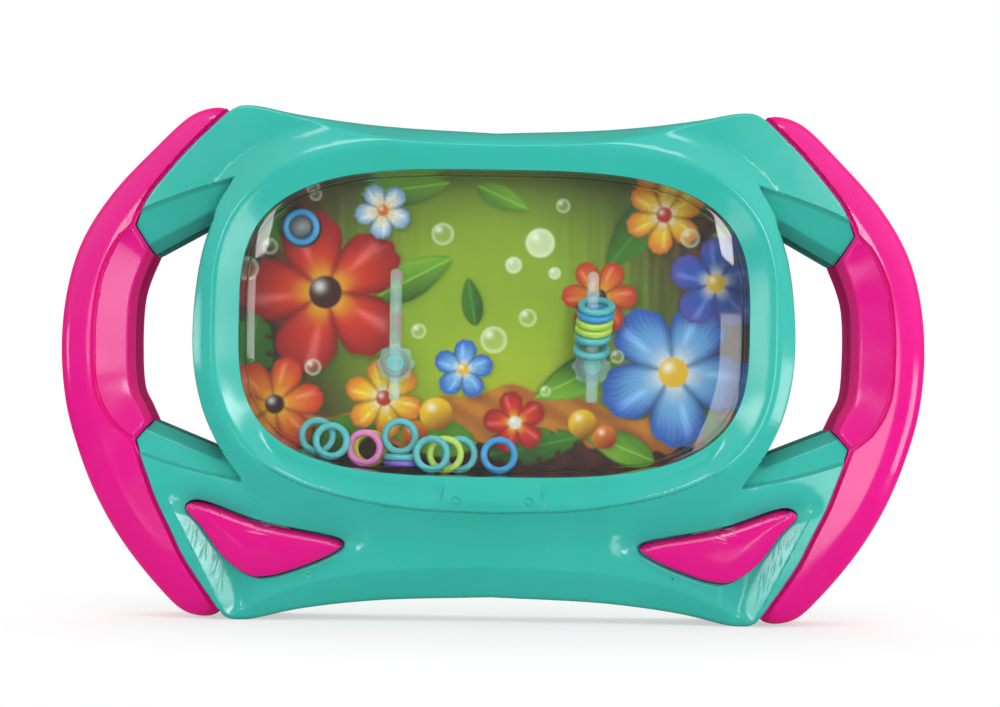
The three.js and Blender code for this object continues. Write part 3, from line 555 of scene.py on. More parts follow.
def clearPlastic(name, tint=(.98, .99, .985), rough=(0.0, .012), bend=1.14, waves=.01, milk=0.0, gloss=1.0):
    # Clear styrene against water, which bends light little but keeps its gloss in a coat. Lamp
    # light passes through it, and hairline scratches show in the gloss
    material, tree, shader = newMaterial(name)
    place = add(tree, "TexCoord").outputs["Object"]
    lines = spread(tree, place, 1, 1, (1900, 80, 110), (0, .9, 0))
    scratches = maths(tree, "MULTIPLY", between(tree, lines, .68, .74), .05)
    rubbed = between(tree, spread(tree, place, 120, 3), .35, .75, *rough)
    tree.links.new(maths(tree, "ADD", rubbed, scratches), shader.inputs["Roughness"])
    relief(tree, shader, spread(tree, place, 150, 2), waves, .001)
    shader.inputs["Base Color"].default_value = (*tint, 1)
    shader.inputs["Transmission Weight"].default_value = 1 - milk
    shader.inputs["IOR"].default_value = bend
    backs = maths(tree, "MULTIPLY", add(tree, "NewGeometry").outputs["Backfacing"], .8)
    coat = maths(tree, "MULTIPLY", maths(tree, "SUBTRACT", 1, backs), gloss)
    tree.links.new(coat, shader.inputs["Coat Weight"])
    shader.inputs["Coat Roughness"].default_value = .03
    shader.inputs["Coat IOR"].default_value = 1.49
    through = add(tree, "BsdfTransparent", Color=(*tint, 1))
    shadowRay = add(tree, "LightPath").outputs["Is Shadow Ray"]
    either = add(tree, "MixShader", {0: shadowRay, 1: shader.outputs[0], 2: through.outputs[0]})
    tree.links.new(either.outputs[0], outputOf(tree).inputs[0])
    return material


def softRubber(name, color, shade, rough=(.45, .7), clear=0.0):
    # Matt rubber or soft vinyl with a fine grain
    material, tree, shader = newMaterial(name)
    place = add(tree, "TexCoord").outputs["Object"]
    clouds = between(tree, spread(tree, place, 150, 4), .3, .7)
    tree.links.new(blendColor(tree, clouds, shade, color), shader.inputs["Base Color"])
    tree.links.new(between(tree, spread(tree, place, 700, 3), .3, .7, *rough), shader.inputs["Roughness"])
    relief(tree, shader, spread(tree, place, 2500, 2), .12, .0003)
    shader.inputs["Transmission Weight"].default_value = clear
    return material


def platedSteel(name):
    # Zinc-plated steel with turning marks
    material, tree, shader = newMaterial(name)
    place = add(tree, "TexCoord").outputs["Object"]
    clouds = between(tree, spread(tree, place, 900, 3), .3, .7)
    base = blendColor(tree, clouds, (.42, .43, .44), (.62, .63, .64))
    tree.links.new(base, shader.inputs["Base Color"])
    tree.links.new(between(tree, spread(tree, place, 2000, 4), .3, .7, .22, .5), shader.inputs["Roughness"])
    relief(tree, shader, spread(tree, place, 4000, 2), .15, .0002)
    shader.inputs["Metallic"].default_value = 1
    return material


# The walls colours are painted light: a darker grey-green shade on the teal walls and a brighter crimson glow
# on the magenta walls
tealPlastic = mouldedPlastic(
    "teal_moulding", color=(.040, .475, .400), shade=(.034, .445, .372), walls=(.055, .37, .31),
    scuffs=dict(x=75, z=15, reach=13, stretch=(2400, 300, 260), ink=(.02, .25, .21), strength=.3),
)
magentaPlastic = mouldedPlastic(
    "magenta_moulding", color=(.745, .005, .245), shade=(.71, .004, .22), walls=(.90, .007, .205),
    scuffs=dict(x=60, z=25.5, reach=4.6, stretch=(260, 300, 2100), ink=(.84, .50, .62), strength=.4),
)
lensPlastic = clearPlastic("clear_lens")
innerClear = clearPlastic("clear_inner", tint=(.95, .98, .97), gloss=.1)
pegPlastic = clearPlastic(
    "clear_peg", tint=(.76, .92, .95), rough=(.01, .05), bend=1.1, waves=.03, milk=.13, gloss=.5,
)
ringLooks = dict(
    teal=softRubber("teal_ring", linear(84, 180, 184), linear(70, 165, 172), (.25, .45)),
    blue=softRubber("blue_ring", linear(52, 150, 205), linear(40, 132, 190), (.25, .45)),
    lime=softRubber("lime_ring", linear(178, 210, 92), linear(160, 196, 76), (.25, .45)),
    pink=softRubber("pink_ring", linear(214, 128, 184), linear(196, 108, 168), (.25, .45)),
    yellow=softRubber("yellow_ring", linear(206, 190, 70), linear(188, 172, 56), (.25, .45)),
    purple=softRubber("purple_ring", linear(126, 94, 188), linear(108, 78, 172), (.25, .45)),
)
plugRubber = softRubber("plug_rubber", linear(150, 156, 158), linear(128, 134, 138), (.3, .5), clear=.35)
bellowsRubber = softRubber("bellows_rubber", linear(216, 214, 206), linear(198, 196, 186))
screwSteel = platedSteel("screw_steel")
tealLooks = (tealPlastic, "body", "teal_plastic")
magentaLooks = (magentaPlastic, "body", "magenta_plastic")
print("materials made")

# Outlines of the body and the handles
step = game["lineStep"]
topEdge = np.minimum(smooth(placed(topEdgeShares), step), (halfWidth, game["height"]))
bottomEdge = np.maximum(smooth(placed(bottomEdgeShares), step), 0)
upperJoint = smooth(placed(upperJointShares), step)
lowerJoint = smooth(placed(lowerJointShares), step)
upperArm = evenly(placed(upperArmShares), step)
bezelSide = smooth(placed(bezelSideShares), step)
armEnds = [
    evenly(placed([upperJointShares[-1], upperArmShares[0]]), step),
    evenly(placed(lowerArmShares), step),
]
lowerArm = evenly(placed([bezelSideShares[-1], lowerArmShares[0]]), step)
gapSide = joined(upperArm, bezelSide, lowerArm)
bodyHalf = joined(topEdge, upperJoint, armEnds[0], gapSide, armEnds[1], lowerJoint, bottomEdge)
bodyOutline = bothHalves(bodyHalf)
jointLine = joined(upperJoint, armEnds[0])
lowerJointLine = joined(armEnds[1], lowerJoint)
bezelLine = smooth(placed([*upperTipShares, *bezelSideShares[1:-1], *lowerTipShares]), step)
upperStep = smooth(placed(upperStepShares), step)
lowerStep = smooth(placed(lowerStepShares), step)
smileLine = smooth(placed(smileShares), step)
topBevel = smooth(placed(topBevelShares), step)
bottomBevel = smooth(placed(bottomBevelShares), step)
buttonOutline = smooth(placed(buttonShares), .6, closed=True)

windowSizes = dict(sideRim=12.2, topBand=16.6, bottomBand=38.0, power=3.3, points=260)
windowHalfWidth = bezelSideShares[3][0] * halfWidth - windowSizes["sideRim"] + .02
windowHalfHeight = (game["height"] - windowSizes["topBand"] - windowSizes["bottomBand"]) / 2
windowZ = windowSizes["bottomBand"] + windowHalfHeight


def superellipse(count, outset=0.0):
    # The window's outline: each coordinate is a power of a sine or cosine, pushed out along its
    # normal by the outset
    angle = 2 * np.pi * (np.arange(4000) + .5) / 4000
    c, s = np.cos(angle), np.sin(angle)
    power = 2 / windowSizes["power"]
    x = windowHalfWidth * np.sign(c) * np.abs(c)**power
    z = windowZ + windowHalfHeight * np.sign(s) * np.abs(s)**power
    ring = np.column_stack([x, z])
    around = closedLine(ring)
    length = np.linalg.norm(np.diff(around, axis=0), axis=1).sum()
    ring = evenly(around, length / count)[:count]
    return ring - sideways(ring, True) * outset


windowOutline = superellipse(windowSizes["points"])
windowRight = closedLine(windowOutline)


def grown(ring, distance):
    # The ring pushed outwards along its normals
    ring = turnedLeft(ring)
    return ring - sideways(ring, True) * distance


buttonHole = grown(buttonOutline, .46) + (0, .16)

frontSizes = dict(
    windowEdge=15.5, windowSlope=.32, crest=18.05, fall=5.5, fallStart=5.0, fallWidth=11.0, crestSoft=.9,
    sideEdge=13.0, sideRise=4.9, sideRound=5.0, armStep=1.7, armSlope=.4, stepWidth=1.05,
    smileStep=.95, smileWidth=.5, smileReach=9.0, smileEnd=56.0, smileFade=6.0, bead=.16, beadWidth=.3,
    beadAway=.35, scoop=.8, topBevelSlope=1.1, topBevelEnd=66.0, bottomBevelSlope=.4, bevelSoft=.35,
    edgeRound=1.2, jointRound=.35, gapBevel=2.7, gapSlope=1.35, dishDepth=2.1, dishAbove=8.0, dishReach=14.0,
    lip=1.0, facet=((70.7, 5.1), (84.1, 31.0)), facetSlope=.31, facetWidth=5.5, facetInner=59.0,
    facetStart=-9.0, facetEnd=27.0, tab=((11.7, 38.2), (14.1, 28.6)), tabSoft=.4,
    dimple=(9.4, 31.5), dimpleRadius=1.25, dimpleDepth=.45, dimplePip=.3, dimpleSoft=.35,
    middleZ=60.0, armsPartZ=75.0, topZone=100.0, bottomZone=30.0, upperTip=(104.0, 9.0), lowerTip=(44.0, 7.0),
)


def smileHeight(p, fromWindow):
    # What the step that curves under the window adds. Above it lie a bead and a scoop whose section
    # is a squared sine, which the tab keeps flat. Below it the face comes back over the step's reach
    s = frontSizes
    smile = -nearest(p, smileLine)
    above = np.clip(smile / s["smileWidth"], 0, 1)
    below = (1 - above) * (1 - ease(-smile / s["smileReach"]))
    inTab = np.clip(.5 - nearest(p, np.array(s["tab"])) / s["tabSoft"], 0, 1)
    share = np.clip(fromWindow / np.maximum(fromWindow + np.maximum(smile, 0), .01), 0, 1)
    scoop = s["scoop"] * np.sin(np.pi * share)**2 * (1 - inTab)
    bead = s["bead"] * np.exp(-((smile - s["smileWidth"] - s["beadAway"]) / s["beadWidth"])**2)
    fade = 1 - ease((p[:, 0] - s["smileEnd"]) / s["smileFade"])
    return fade * (p[:, 1] < s["middleZ"]) * (above * (bead - scoop) - s["smileStep"] * below)


def dimpleHeight(p):
    # A round dimple in the tab, with a pip in its middle
    s = frontSizes
    away = np.hypot(p[:, 0] - s["dimple"][0], p[:, 1] - s["dimple"][1])
    pip = s["dimplePip"] * (1 - ease((away - .25) / s["dimpleSoft"]))
    return pip - s["dimpleDepth"] * (1 - ease((away - s["dimpleRadius"]) / s["dimpleSoft"]))


def bevelDrop(p):
    # How far the bevels along the top and the bottom fall: a slope times the way past their line
    s = frontSizes
    x, z = p[:, 0], p[:, 1]
    topAt = np.interp(x, topEdge[:, 0], topEdge[:, 1])
    topWidth = topAt - np.interp(x, topBevel[:, 0], topBevel[:, 1])
    top = s["topBevelSlope"] * aboveZero(topWidth - (topAt - z), s["bevelSoft"])
    bottomAt = np.interp(-x, -bottomEdge[:, 0], bottomEdge[:, 1])
    bottomWidth = np.interp(x, bottomBevel[:, 0], bottomBevel[:, 1]) - bottomAt
    bottom = s["bottomBevelSlope"] * aboveZero(bottomWidth - (z - bottomAt), s["bevelSoft"])
    return top * (z > s["topZone"]) * (x < s["topBevelEnd"]) + bottom * (z < s["bottomZone"])


def besideGap(z, fromBezel):
    # The height at which a quarter ellipse rounds the crest off beside the finger gap. It fades out
    # where the bezel runs into the body at its upper and lower tips
    s = frontSizes
    (upperFrom, upperOver), (lowerFrom, lowerOver) = s["upperTip"], s["lowerTip"]
    fade = np.maximum(ease((z - upperFrom) / upperOver), ease((lowerFrom - z) / lowerOver))
    drop = edgeDrop(np.maximum(fromBezel, 0), s["sideRound"]) / s["sideRound"]
    return s["sideEdge"] + s["sideRise"] * (1 - drop) + fade * s["sideRise"] * .9


def withArms(h, p, outside):
    # Outside the bezel, the face steps down to the arms, which are planes that fall away
    s = frontSizes
    for line, sign in ((upperStep, -1), (lowerStep, 1)):
        away = nearest(p, line) * sign
        onSide = (p[:, 1] > s["armsPartZ"]) if sign < 0 else (p[:, 1] < s["armsPartZ"])
        onArm = (1 - np.clip(away / s["stepWidth"], 0, 1)) * outside * onSide
        arm = game["bodyFace"] - s["armStep"] - s["armSlope"] * np.abs(away)
        h = mix(h, arm, onArm)
    return h


def dishDrop(p):
    # How far the face falls round a button: above the button by a parabola, below it by a quarter
    # round lip, and beside the handle by a slanted facet that ends in a line
    s = frontSizes
    x, z = p[:, 0], p[:, 1]
    fromButton = np.maximum(-nearest(p, closedLine(buttonHole)), 0)
    chord = unit(np.diff(buttonTips, axis=0))[0]
    aboveTips = (z - buttonTips[0][1]) * chord[0] - (x - buttonTips[0][0]) * chord[1]
    aboveButton = ease((aboveTips + 3) / 6)
    shallow = s["dishDepth"] * np.clip(1 - fromButton / s["dishAbove"], 0, 1)**2
    foot, top = np.array(s["facet"])
    along = unit(np.array([top - foot]))[0]
    inward = along[1] * (foot[0] - x) + along[0] * (z - foot[1])
    place = (x - foot[0]) * along[0] + (z - foot[1]) * along[1]
    ends = ease((place - s["facetStart"]) / 6) * (1 - ease((place - s["facetEnd"]) / 4))
    onFacet = ease((x - s["facetInner"]) / 8) * ends * (inward > 0)
    facet = s["facetSlope"] * lower(aboveZero(inward, .2), s["facetWidth"], .5) * onFacet
    lip = edgeDrop(fromButton, s["lip"]) * (1 - onFacet)
    near = (z < s["middleZ"]) * (fromButton < s["dishReach"])
    return mix(np.maximum(facet, lip), shallow, aboveButton) * near


def frontHeight(places):
    # Height of the front face. Round the window it rises outwards to a crest and then eases down to
    # the body's face, and the smile step, dimples, bevels, arms and dishes are set into it
    s = frontSizes
    p = np.column_stack([np.abs(places[:, 0]), places[:, 1]])
    fromWindow = -nearest(places, windowRight)
    rise = s["windowEdge"] + s["windowSlope"] * fromWindow
    fall = s["crest"] - s["fall"] * ease((fromWindow - s["fallStart"]) / s["fallWidth"])
    h = lower(rise, fall, s["crestSoft"])
    h = h + smileHeight(p, fromWindow) + dimpleHeight(p) - bevelDrop(p)
    fromBezel = -nearest(p, bezelLine)
    h = lower(h, besideGap(p[:, 1], fromBezel), .25)
    outside = 1 - ease((fromBezel + .1) / .3)
    h = withArms(h, p, outside) - dishDrop(p)
    for line in (upperArm, lowerArm):
        h = h - s["gapSlope"] * aboveZero(s["gapBevel"] - np.abs(nearest(p, line)), .2) * outside
    for line, radius in edgeLines:
        h = h - edgeDrop(np.abs(nearest(p, line)), radius)
    return h


buttonTips = placed([(.3411, .1479), (.7015, .2208)])
edgeLines = [
    (topEdge, frontSizes["edgeRound"]), (bottomEdge, frontSizes["edgeRound"]),
    (jointLine, frontSizes["jointRound"]), (lowerJointLine, frontSizes["jointRound"]),
]


def circleAt(x, z, radius, count=40):
    # Points round a circle
    turn = 2 * np.pi * np.arange(count) / count
    return np.column_stack([x + radius * np.cos(turn), z + radius * np.sin(turn)])


def onBothSides(guides):
    # Each open guide line and its image in the middle plane
    both = []
    for line, closed, steps in guides:
        both.append((line, closed, steps))
        both.append((mirrored(line), closed, [-v for v in steps]))
    return both


fineSteps = [.08, .18, .3, .5, .8, 1.2, 1.8, 2.6, 3.6, 4.8]


def frontShell():
    # The face between its outline, the window and the button openings
    inwards = [-v for v in fineSteps]
    armSteps = bothWays([.07, .3, .55, .8, .98, 1.12, 1.4])
    bevelSteps = bothWays([.15, .3, .5, .8, 1.2])
    gapBevelSteps = [-v for v in (1.4, 2.0, 2.4, 2.7, 3.0, 3.4)]
    guides = onBothSides([
        (topEdge, False, inwards), (bottomEdge, False, inwards),
        (jointLine, False, inwards[:5]), (lowerJointLine, False, inwards[:5]),
        (gapSide, False, inwards), (bezelLine, False, bothWays(fineSteps)),
        (upperStep, False, armSteps), (lowerStep, False, armSteps),
        (smileLine, False, bothWays([.06, .2, .34, .46, .56, .7, .9, 1.15, 1.8])),
        (upperArm, False, gapBevelSteps), (lowerArm, False, gapBevelSteps),
        (evenly(np.array(frontSizes["facet"]), .8), False, bothWays([.15, .3, .6])),
        (topBevel, False, bevelSteps), (bottomBevel, False, bevelSteps),
        (evenly(np.array(frontSizes["tab"]), .5), False, bothWays([.17, .24, .45, .8])),
        (buttonHole, True, [-.1, -.3, -.6, -.8, -.95, -1.1, -1.4, -2.2, -3.2, -4.2, -5.4, -6.5, -8, -9.5]),
    ])
    for sign in (1, -1):
        circle = circleAt(sign * frontSizes["dimple"][0], frontSizes["dimple"][1], 1, 24)
        guides.append((circle, True, [.85, .7, .55, .4, .25, 0, -.15, -.28, -.42, -.6, -.9]))
    windowSteps = [-v for v in (.12, .4, .8, 1.5, 2.3, 3.2, 4.1, 5, 5.7, 6.3, 6.9, 7.5, 8.3)]
    guides.append((windowOutline, True, windowSteps))
    holes = [windowOutline, buttonHole, mirrored(buttonHole)]
    looks = (*tealLooks, ["front_shell"])
    pressedShell("front_shell_face", bodyOutline, holes, frontHeight, guides, looks, thick=2.2)


frontShell()
print("front shell made")

# Rear shell and the rear halves of the handles: flat backs with rounded edges and screw wells
screwShares = [(.624, .905), (.726, .272), (.124, .156), (.588, .051)]
handleScrewShares = [(.905, .64), (.905, .432)]
screwSpots = placed(screwShares)
handleScrewSpots = placed(handleScrewShares)
rearSizes = dict(
    wellRadius=3.0, plugHole=8.1, plugFromSide=14.8, plugFromTop=14.8, outerRound=3.0, gapRound=2.0,
    jointRound=.4,
)
plugX = rearSizes["plugFromSide"] - windowHalfWidth
plugZ = windowZ + windowHalfHeight - rearSizes["plugFromTop"]
handleOuter = smooth(placed(handleOuterShares), step)
handleInner = smooth(placed(handleInnerShares), step)


def besideJoint(line):
    # The handle's edge beside a joint line of the body, with the play between them
    return line + sideways(line) * game["play"]


handleJoint = besideJoint(joined(upperJoint, armEnds[0]))
handleLowerJoint = besideJoint(joined(armEnds[1], lowerJoint))


def handleRing():
    # The outline of the right handle
    return joined(handleOuter, handleLowerJoint[::-1], handleInner, handleJoint[::-1])


def rearHeight(edges):
    # Depth behind the parting plane: a flat back, a quarter round along the silhouette and a
    # smaller one along the other edges
    def depth(places):
        p = np.column_stack([np.abs(places[:, 0]), places[:, 1]])
        h = np.full(len(p), game["rearDepth"])
        for line, radius in edges:
            h = h - edgeDrop(np.abs(nearest(p, line)), radius)
        return h
    return depth


def onSide(side, ring, holes, guides):
    # The right handle's ring, holes and guides, or their images on the left
    if side > 0:
        return ring, holes, guides
    guides = [(mirrored(line), closed, [-v for v in steps]) for line, closed, steps in guides]
    return mirrored(ring), [mirrored(hole) for hole in holes], guides


def rearShell():
    # The flat back with its screw wells and the opening for the plug
    s = rearSizes
    edges = [
        (topEdge, s["outerRound"]), (bottomEdge, s["outerRound"]), (jointLine, s["jointRound"]),
        (lowerJointLine, s["jointRound"]), (gapSide, s["gapRound"]),
    ]
    steps = [-v for v in fineSteps[:9]]
    guides = onBothSides([(line, False, steps) for line, _ in edges])
    holes = [circleAt(side * x, z, s["wellRadius"]) for x, z in screwSpots for side in (1, -1)]
    holes.append(circleAt(plugX, plugZ, s["plugHole"], 72))
    guides += [(hole, True, [-.2, -.5, -1]) for hole in holes]
    looks = (*tealLooks, ["rear_shell"])
    pressedShell("rear_shell_face", bodyOutline, holes, rearHeight(edges), guides, looks, lattice=2.4,
                 facing=-1)


def rearHandle(side):
    # The back half of a handle, with two screw wells
    s = rearSizes
    edges = [
        (handleOuter, s["outerRound"]), (handleInner, s["gapRound"]), (handleJoint, s["jointRound"]),
        (handleLowerJoint, s["jointRound"]),
    ]
    guides = [(line, False, [sign * v for v in fineSteps[:9] for sign in (1, -1)]) for line, _ in edges]
    holes = [circleAt(x, z, s["wellRadius"]) for x, z in handleScrewSpots]
    guides += [(hole, True, [-.2, -.5, -1]) for hole in holes]
    ring, holes, guides = onSide(side, handleRing(), holes, guides)
    name = sideName(side)
    looks = (*magentaLooks, [name + "_handle_rear"])
    pressedShell(name + "_handle_back", ring, holes, rearHeight(edges), guides, looks, lattice=2.0, facing=-1)


handleSizes = dict(
    bandTop=12.8, bandSlope=.03, bandRise=5.0, round=8.0, channel=1.15, channelDrop=.75,
    gripTop=11.6, gripSlope=.26, endWidth=.9, endDrop=.8, innerBevel=1.5, innerDrop=3.4,
)
gripCrease = smooth(placed(gripCreaseShares), step)
gripEnds = [besideJoint(armEnds[0]), besideJoint(armEnds[1])]
bandJoints = [besideJoint(upperJoint), besideJoint(lowerJoint)]
bandInner = evenly(joined(bandJoints[0][:-1], gripCrease, bandJoints[1][1:]), .6)


def handleHeight(places):
    # Height of the handle's front: a band that leans outwards and rounds off towards the
    # silhouette as a quarter ellipse, a channel along its inner edge whose section is a parabola,
    # and a grip that slopes down to the finger gap and ends in a bevel
    s = handleSizes
    p = np.column_stack([np.abs(places[:, 0]), places[:, 1]])
    outer = np.abs(nearest(p, handleOuter))
    inward = nearest(p, bandInner)
    band = s["bandTop"] - s["bandSlope"] * np.abs(inward)
    band = band - s["bandRise"] * edgeDrop(outer, s["round"]) / s["round"]
    crease = nearest(p, gripCrease)
    grip = s["gripTop"] - s["gripSlope"] * np.abs(crease)
    for line in gripEnds:
        grip = grip - s["endDrop"] * aboveZero(1 - np.abs(nearest(p, line)) / s["endWidth"], .06)
    grip = grip - s["innerDrop"] * aboveZero(1 - np.abs(nearest(p, handleInner)) / s["innerBevel"], .12)
    onGrip = 1 - ease((crease + .05) / .15)
    share = np.clip(np.abs(inward) / s["channel"], 0, 1)
    channel = mix(s["gripTop"], s["bandTop"], share) - s["channelDrop"] * 4 * share * (1 - share)
    return mix(np.where(share < 1, channel, band), grip, onGrip)


def frontHandle(side):
    # The front half of a handle
    endSteps = bothWays([.15, .5, .85, 1.0, 1.6])
    guides = [
        (handleOuter, False, [sign * v for v in [*fineSteps, 6, 7.5, 9] for sign in (1, -1)]),
        (handleInner, False, bothWays([.1, .4, .8, 1.2, 1.42, 1.56, 1.8, 2.4])),
        (gripEnds[0], False, endSteps), (gripEnds[1], False, endSteps),
        (bandInner, False, bothWays([.12, .3, .5, .7, .9, 1.06, 1.18, 1.5, 2.2])),
    ]
    ring, _, guides = onSide(side, handleRing(), [], guides)
    name = sideName(side)
    looks = (*magentaLooks, [name + "_handle_front"])
    pressedShell(name + "_handle_face", ring, [], handleHeight, guides, looks, lattice=1.3)


buttonSizes = dict(
    edge=14.3, dome=.8, domeWidth=6.0, round=.8, low=8.6, flank=4.2, flankWidth=1.0, flankSoft=.12,
    chamfer=.35, chamferWidth=.6,
)
upperEnds = [np.linalg.norm(buttonOutline - placed([buttonShares[k]]), axis=1).argmin() for k in (1, -1)]
buttonUpper = np.vstack([buttonOutline[upperEnds[1]:], buttonOutline[:upperEnds[0] + 1]])


def buttonHeight(places):
    # A low dome with a rounded edge. Along its upper edge it steps down to a narrow shelf, with a
    # chamfer above the step
    s = buttonSizes
    p = np.column_stack([np.abs(places[:, 0]), places[:, 1]])
    away = np.abs(nearest(p, closedLine(buttonOutline)))
    dome = 1 - (1 - np.clip(away / s["domeWidth"], 0, 1))**2
    upper = np.abs(nearest(p, buttonUpper))
    flank = s["flank"] * np.clip((s["flankWidth"] + s["flankSoft"] - upper) / s["flankSoft"], 0, 1)
    chamfer = s["chamfer"] * np.clip((s["flankWidth"] - upper) / s["chamferWidth"] + 1, 0, 1)
    return s["edge"] + s["dome"] * dome - edgeDrop(away, s["round"]) - flank - chamfer


def pressButton(side):
    # The cap that a finger presses
    ring = buttonOutline if side > 0 else mirrored(buttonOutline)
    steps = [.06, .2, .4, .65, .99, 1.13, 1.35, 1.6, 1.76, 2.3, 3.1, 4, 5, 6]
    guides = [(ring, True, steps + [-v for v in steps])]
    name = sideName(side)
    looks = (magentaPlastic, name + "_button", "magenta_plastic", [name + "_button"])
    pressedShell(name + "_button_cap", ring, [], buttonHeight, guides, looks, lattice=1.2, thick=1.5,
                 rim=buttonSizes["low"], rimWidth=1.4)


rearShell()
for side in (1, -1):
    rearHandle(side)
    frontHandle(side)
    pressButton(side)
print("handles, rear shell and buttons made")

lensSizes = dict(
    wall=1.5, gap=.06, outset=1.2, front=15.7, rear=1.5, shoulder=10.9, roll=.8, rollWidth=8.0, round=.6,
    flange=3.5, flangeThick=1.5, points=240,
)


def offsetRing(outset, h, count):
    # The window's outline pushed out, at a height that may change round it
    ring = superellipse(count, outset)
    return np.column_stack([ring[:, 0], np.broadcast_to(h, len(ring)), ring[:, 1]])


def lensFace(away, start):
    # Height of the clear face at a distance from its edge: a parabola that rolls off towards the
    # edge, most at the left and the right, and a quarter round where the face starts
    s = lensSizes
    sideShare = .2 + .8 * np.abs(sideways(superellipse(s["points"]), True)[:, 0])**4
    falling = s["roll"] * sideShare * np.clip(1 - away / s["rollWidth"], 0, 1)**2
    return s["front"] - falling - edgeDrop(away - start, s["round"])


def tankLens():
    # A tub open at the back: rings of the window's outline, stepped in and out through its wall
    s = lensSizes
    out, wall, foot = s["outset"], s["wall"], -s["rear"]
    away = [0, .06, .15, .3, .45, .6, 1.0, 1.6, 2.4, 3.4, 4.6, 6.0, 7.5, 8.0, 9.0]
    outside = [(-s["gap"] - v, lensFace(v, 0)) for v in away]
    away = [v + wall for v in (0, .06, .15, .3, .45, .6, 1.0, 1.8, 3.0, 4.5, 6.2, 8.5)]
    inside = [(-s["gap"] - v, lensFace(v, wall) - wall) for v in away]
    lip = s["shoulder"] - wall
    steps = [*inside[::-1], (-s["gap"] - wall, lip), (-s["gap"], lip), (-s["gap"], foot)]
    steps += [(out + s["flange"], foot), (out + s["flange"], foot + s["flangeThick"])]
    steps += [(out, foot + s["flangeThick"]), (out, s["shoulder"]), (-s["gap"], s["shoulder"]), *outside]
    rings = [offsetRing(outset, h, s["points"]) for outset, h in steps]
    return ringStack("tank_window", rings, (lensPlastic, "body", "clear_plastic", ["tank_lens"]), angle=50)


tankLens()
print("lens made")

ringSizes = dict(middle=4.0, tube=.92, half=.88, steps=56, sides=16, corner=2.6)
tankSizes = dict(backFront=-1.8, ceiling=13.5, backRear=-3.3, inset=.3, neckEnd=-9.25, mouth=4.3, neck=5.0)
pegSizes = dict(
    x=25.9, top=54.2, tail=19.5, radius=1.55, height=5.5, bossRise=29.3, bossRadius=3.6, bossFront=7.2,
    flangeRadius=5.2, scallop=.7, waves=8, disc=1.0, groove=(2.6, 1.6), grooveDepth=.35, eye=1.1,
    eyeDepth=.8, core=2.3, coreSink=.9,
)
bossZ = windowSizes["bottomBand"] + pegSizes["bossRise"]


def waterRing(name, x, h, z, tilt, color, body, node):
    # A ring whose section is a rounded box: powers of a sine and cosine carried round a circle
    s = ringSizes
    turn = 2 * np.pi * np.arange(s["steps"]) / s["steps"]
    around = 2 * np.pi * np.arange(s["sides"]) / s["sides"]
    power = 2 / s["corner"]
    across = s["tube"] * np.sign(np.cos(around)) * np.abs(np.cos(around))**power
    along = s["half"] * np.sign(np.sin(around)) * np.abs(np.sin(around))**power
    radius = s["middle"] + across[None, :]
    px = radius * np.cos(turn)[:, None]
    py = np.broadcast_to(along[None, :], px.shape)
    pz = radius * np.sin(turn)[:, None]
    t = math.radians(tilt)
    depth = py * math.cos(t) - pz * math.sin(t)
    rise = py * math.sin(t) + pz * math.cos(t)
    rings = [np.column_stack([x + px[k], h - depth[k], z + rise[k]]) for k in range(s["steps"])]
    looks = (ringLooks[color], body, "ring_" + color, [node])
    return ringStack(name, rings[::-1], looks, closeStart=False, closeEnd=False)


def windowFloor(x):
    # Height of the window's lower edge at a place across, by the powers of its outline
    share = np.minimum(np.abs(x) / windowHalfWidth, 1)
    return windowZ - windowHalfHeight * (1 - share**windowSizes["power"])**(1 / windowSizes["power"])


def restingPlace(x, flat):
    # Lowest place for the middle of a loose ring on the tank's floor
    outer = ringSizes["middle"] + ringSizes["tube"]
    share = np.linspace(-1, 1, 21)
    reach = np.full(21, ringSizes["half"]) if flat else outer * np.sqrt(1 - share * share)
    return (windowFloor(x + share * outer) + reach).max() + 2 * tankSizes["inset"]


stackColors = ["teal", "teal", "lime", "lime", "blue", "teal"]
stackSizes = dict(tilt=27, seat=4.2, pitch=1.95, firstGap=1.75, lean=.23)
looseRings = [
    ("a", "teal", -9.351, .42, 0, False), ("b", "teal", -8.576, .57, 0, False),
    ("c", "yellow", -6.547, .144, 0, False), ("d", "pink", -6.82, .42, 0, False),
    ("e", "purple", -4.819, .36, .12, True), ("f", "teal", -4.819, .36, .47, True),
    ("g", "teal", -4.941, .36, .82, False), ("h", "teal", -3.226, .68, 0, False),
    ("i", "lime", -2.505, .53, 0, False), ("j", "teal", -1.77, .39, 0, False),
    ("k", "blue", .3675, .5, 0, False),
]


def allRings():
    # The tilted stack on the right peg, the loose rings and the one round the plug
    s = stackSizes
    outer = ringSizes["middle"] + ringSizes["tube"]
    for i, color in enumerate(stackColors):
        z = bossZ + s["seat"] + s["pitch"] * i + (s["firstGap"] if i > 0 else 0)
        node = f"peg_ring_{i + 1}"
        waterRing(f"peg_hoop_{i + 1}", pegSizes["x"] + s["lean"] * (i - 1), pegSizes["height"], z,
                  90 + s["tilt"], color, node, node)
    for name, color, across, depth, rise, flat in looseRings:
        x = across * outer
        z = restingPlace(x, flat) + rise * outer
        h = tankSizes["backFront"] + depth * (tankSizes["ceiling"] - tankSizes["backFront"])
        waterRing("loose_hoop_" + name, x, h, z, 90 if flat else 0, color, "body", "loose_ring_" + name)
    waterRing("plug_hoop", plugX, 1.08, plugZ, 0, "blue", "body", "plug_ring")


allRings()
print("rings made")

axisRadius = .02  # a turned piece stays open by this much at its axis, where a flat face closes it


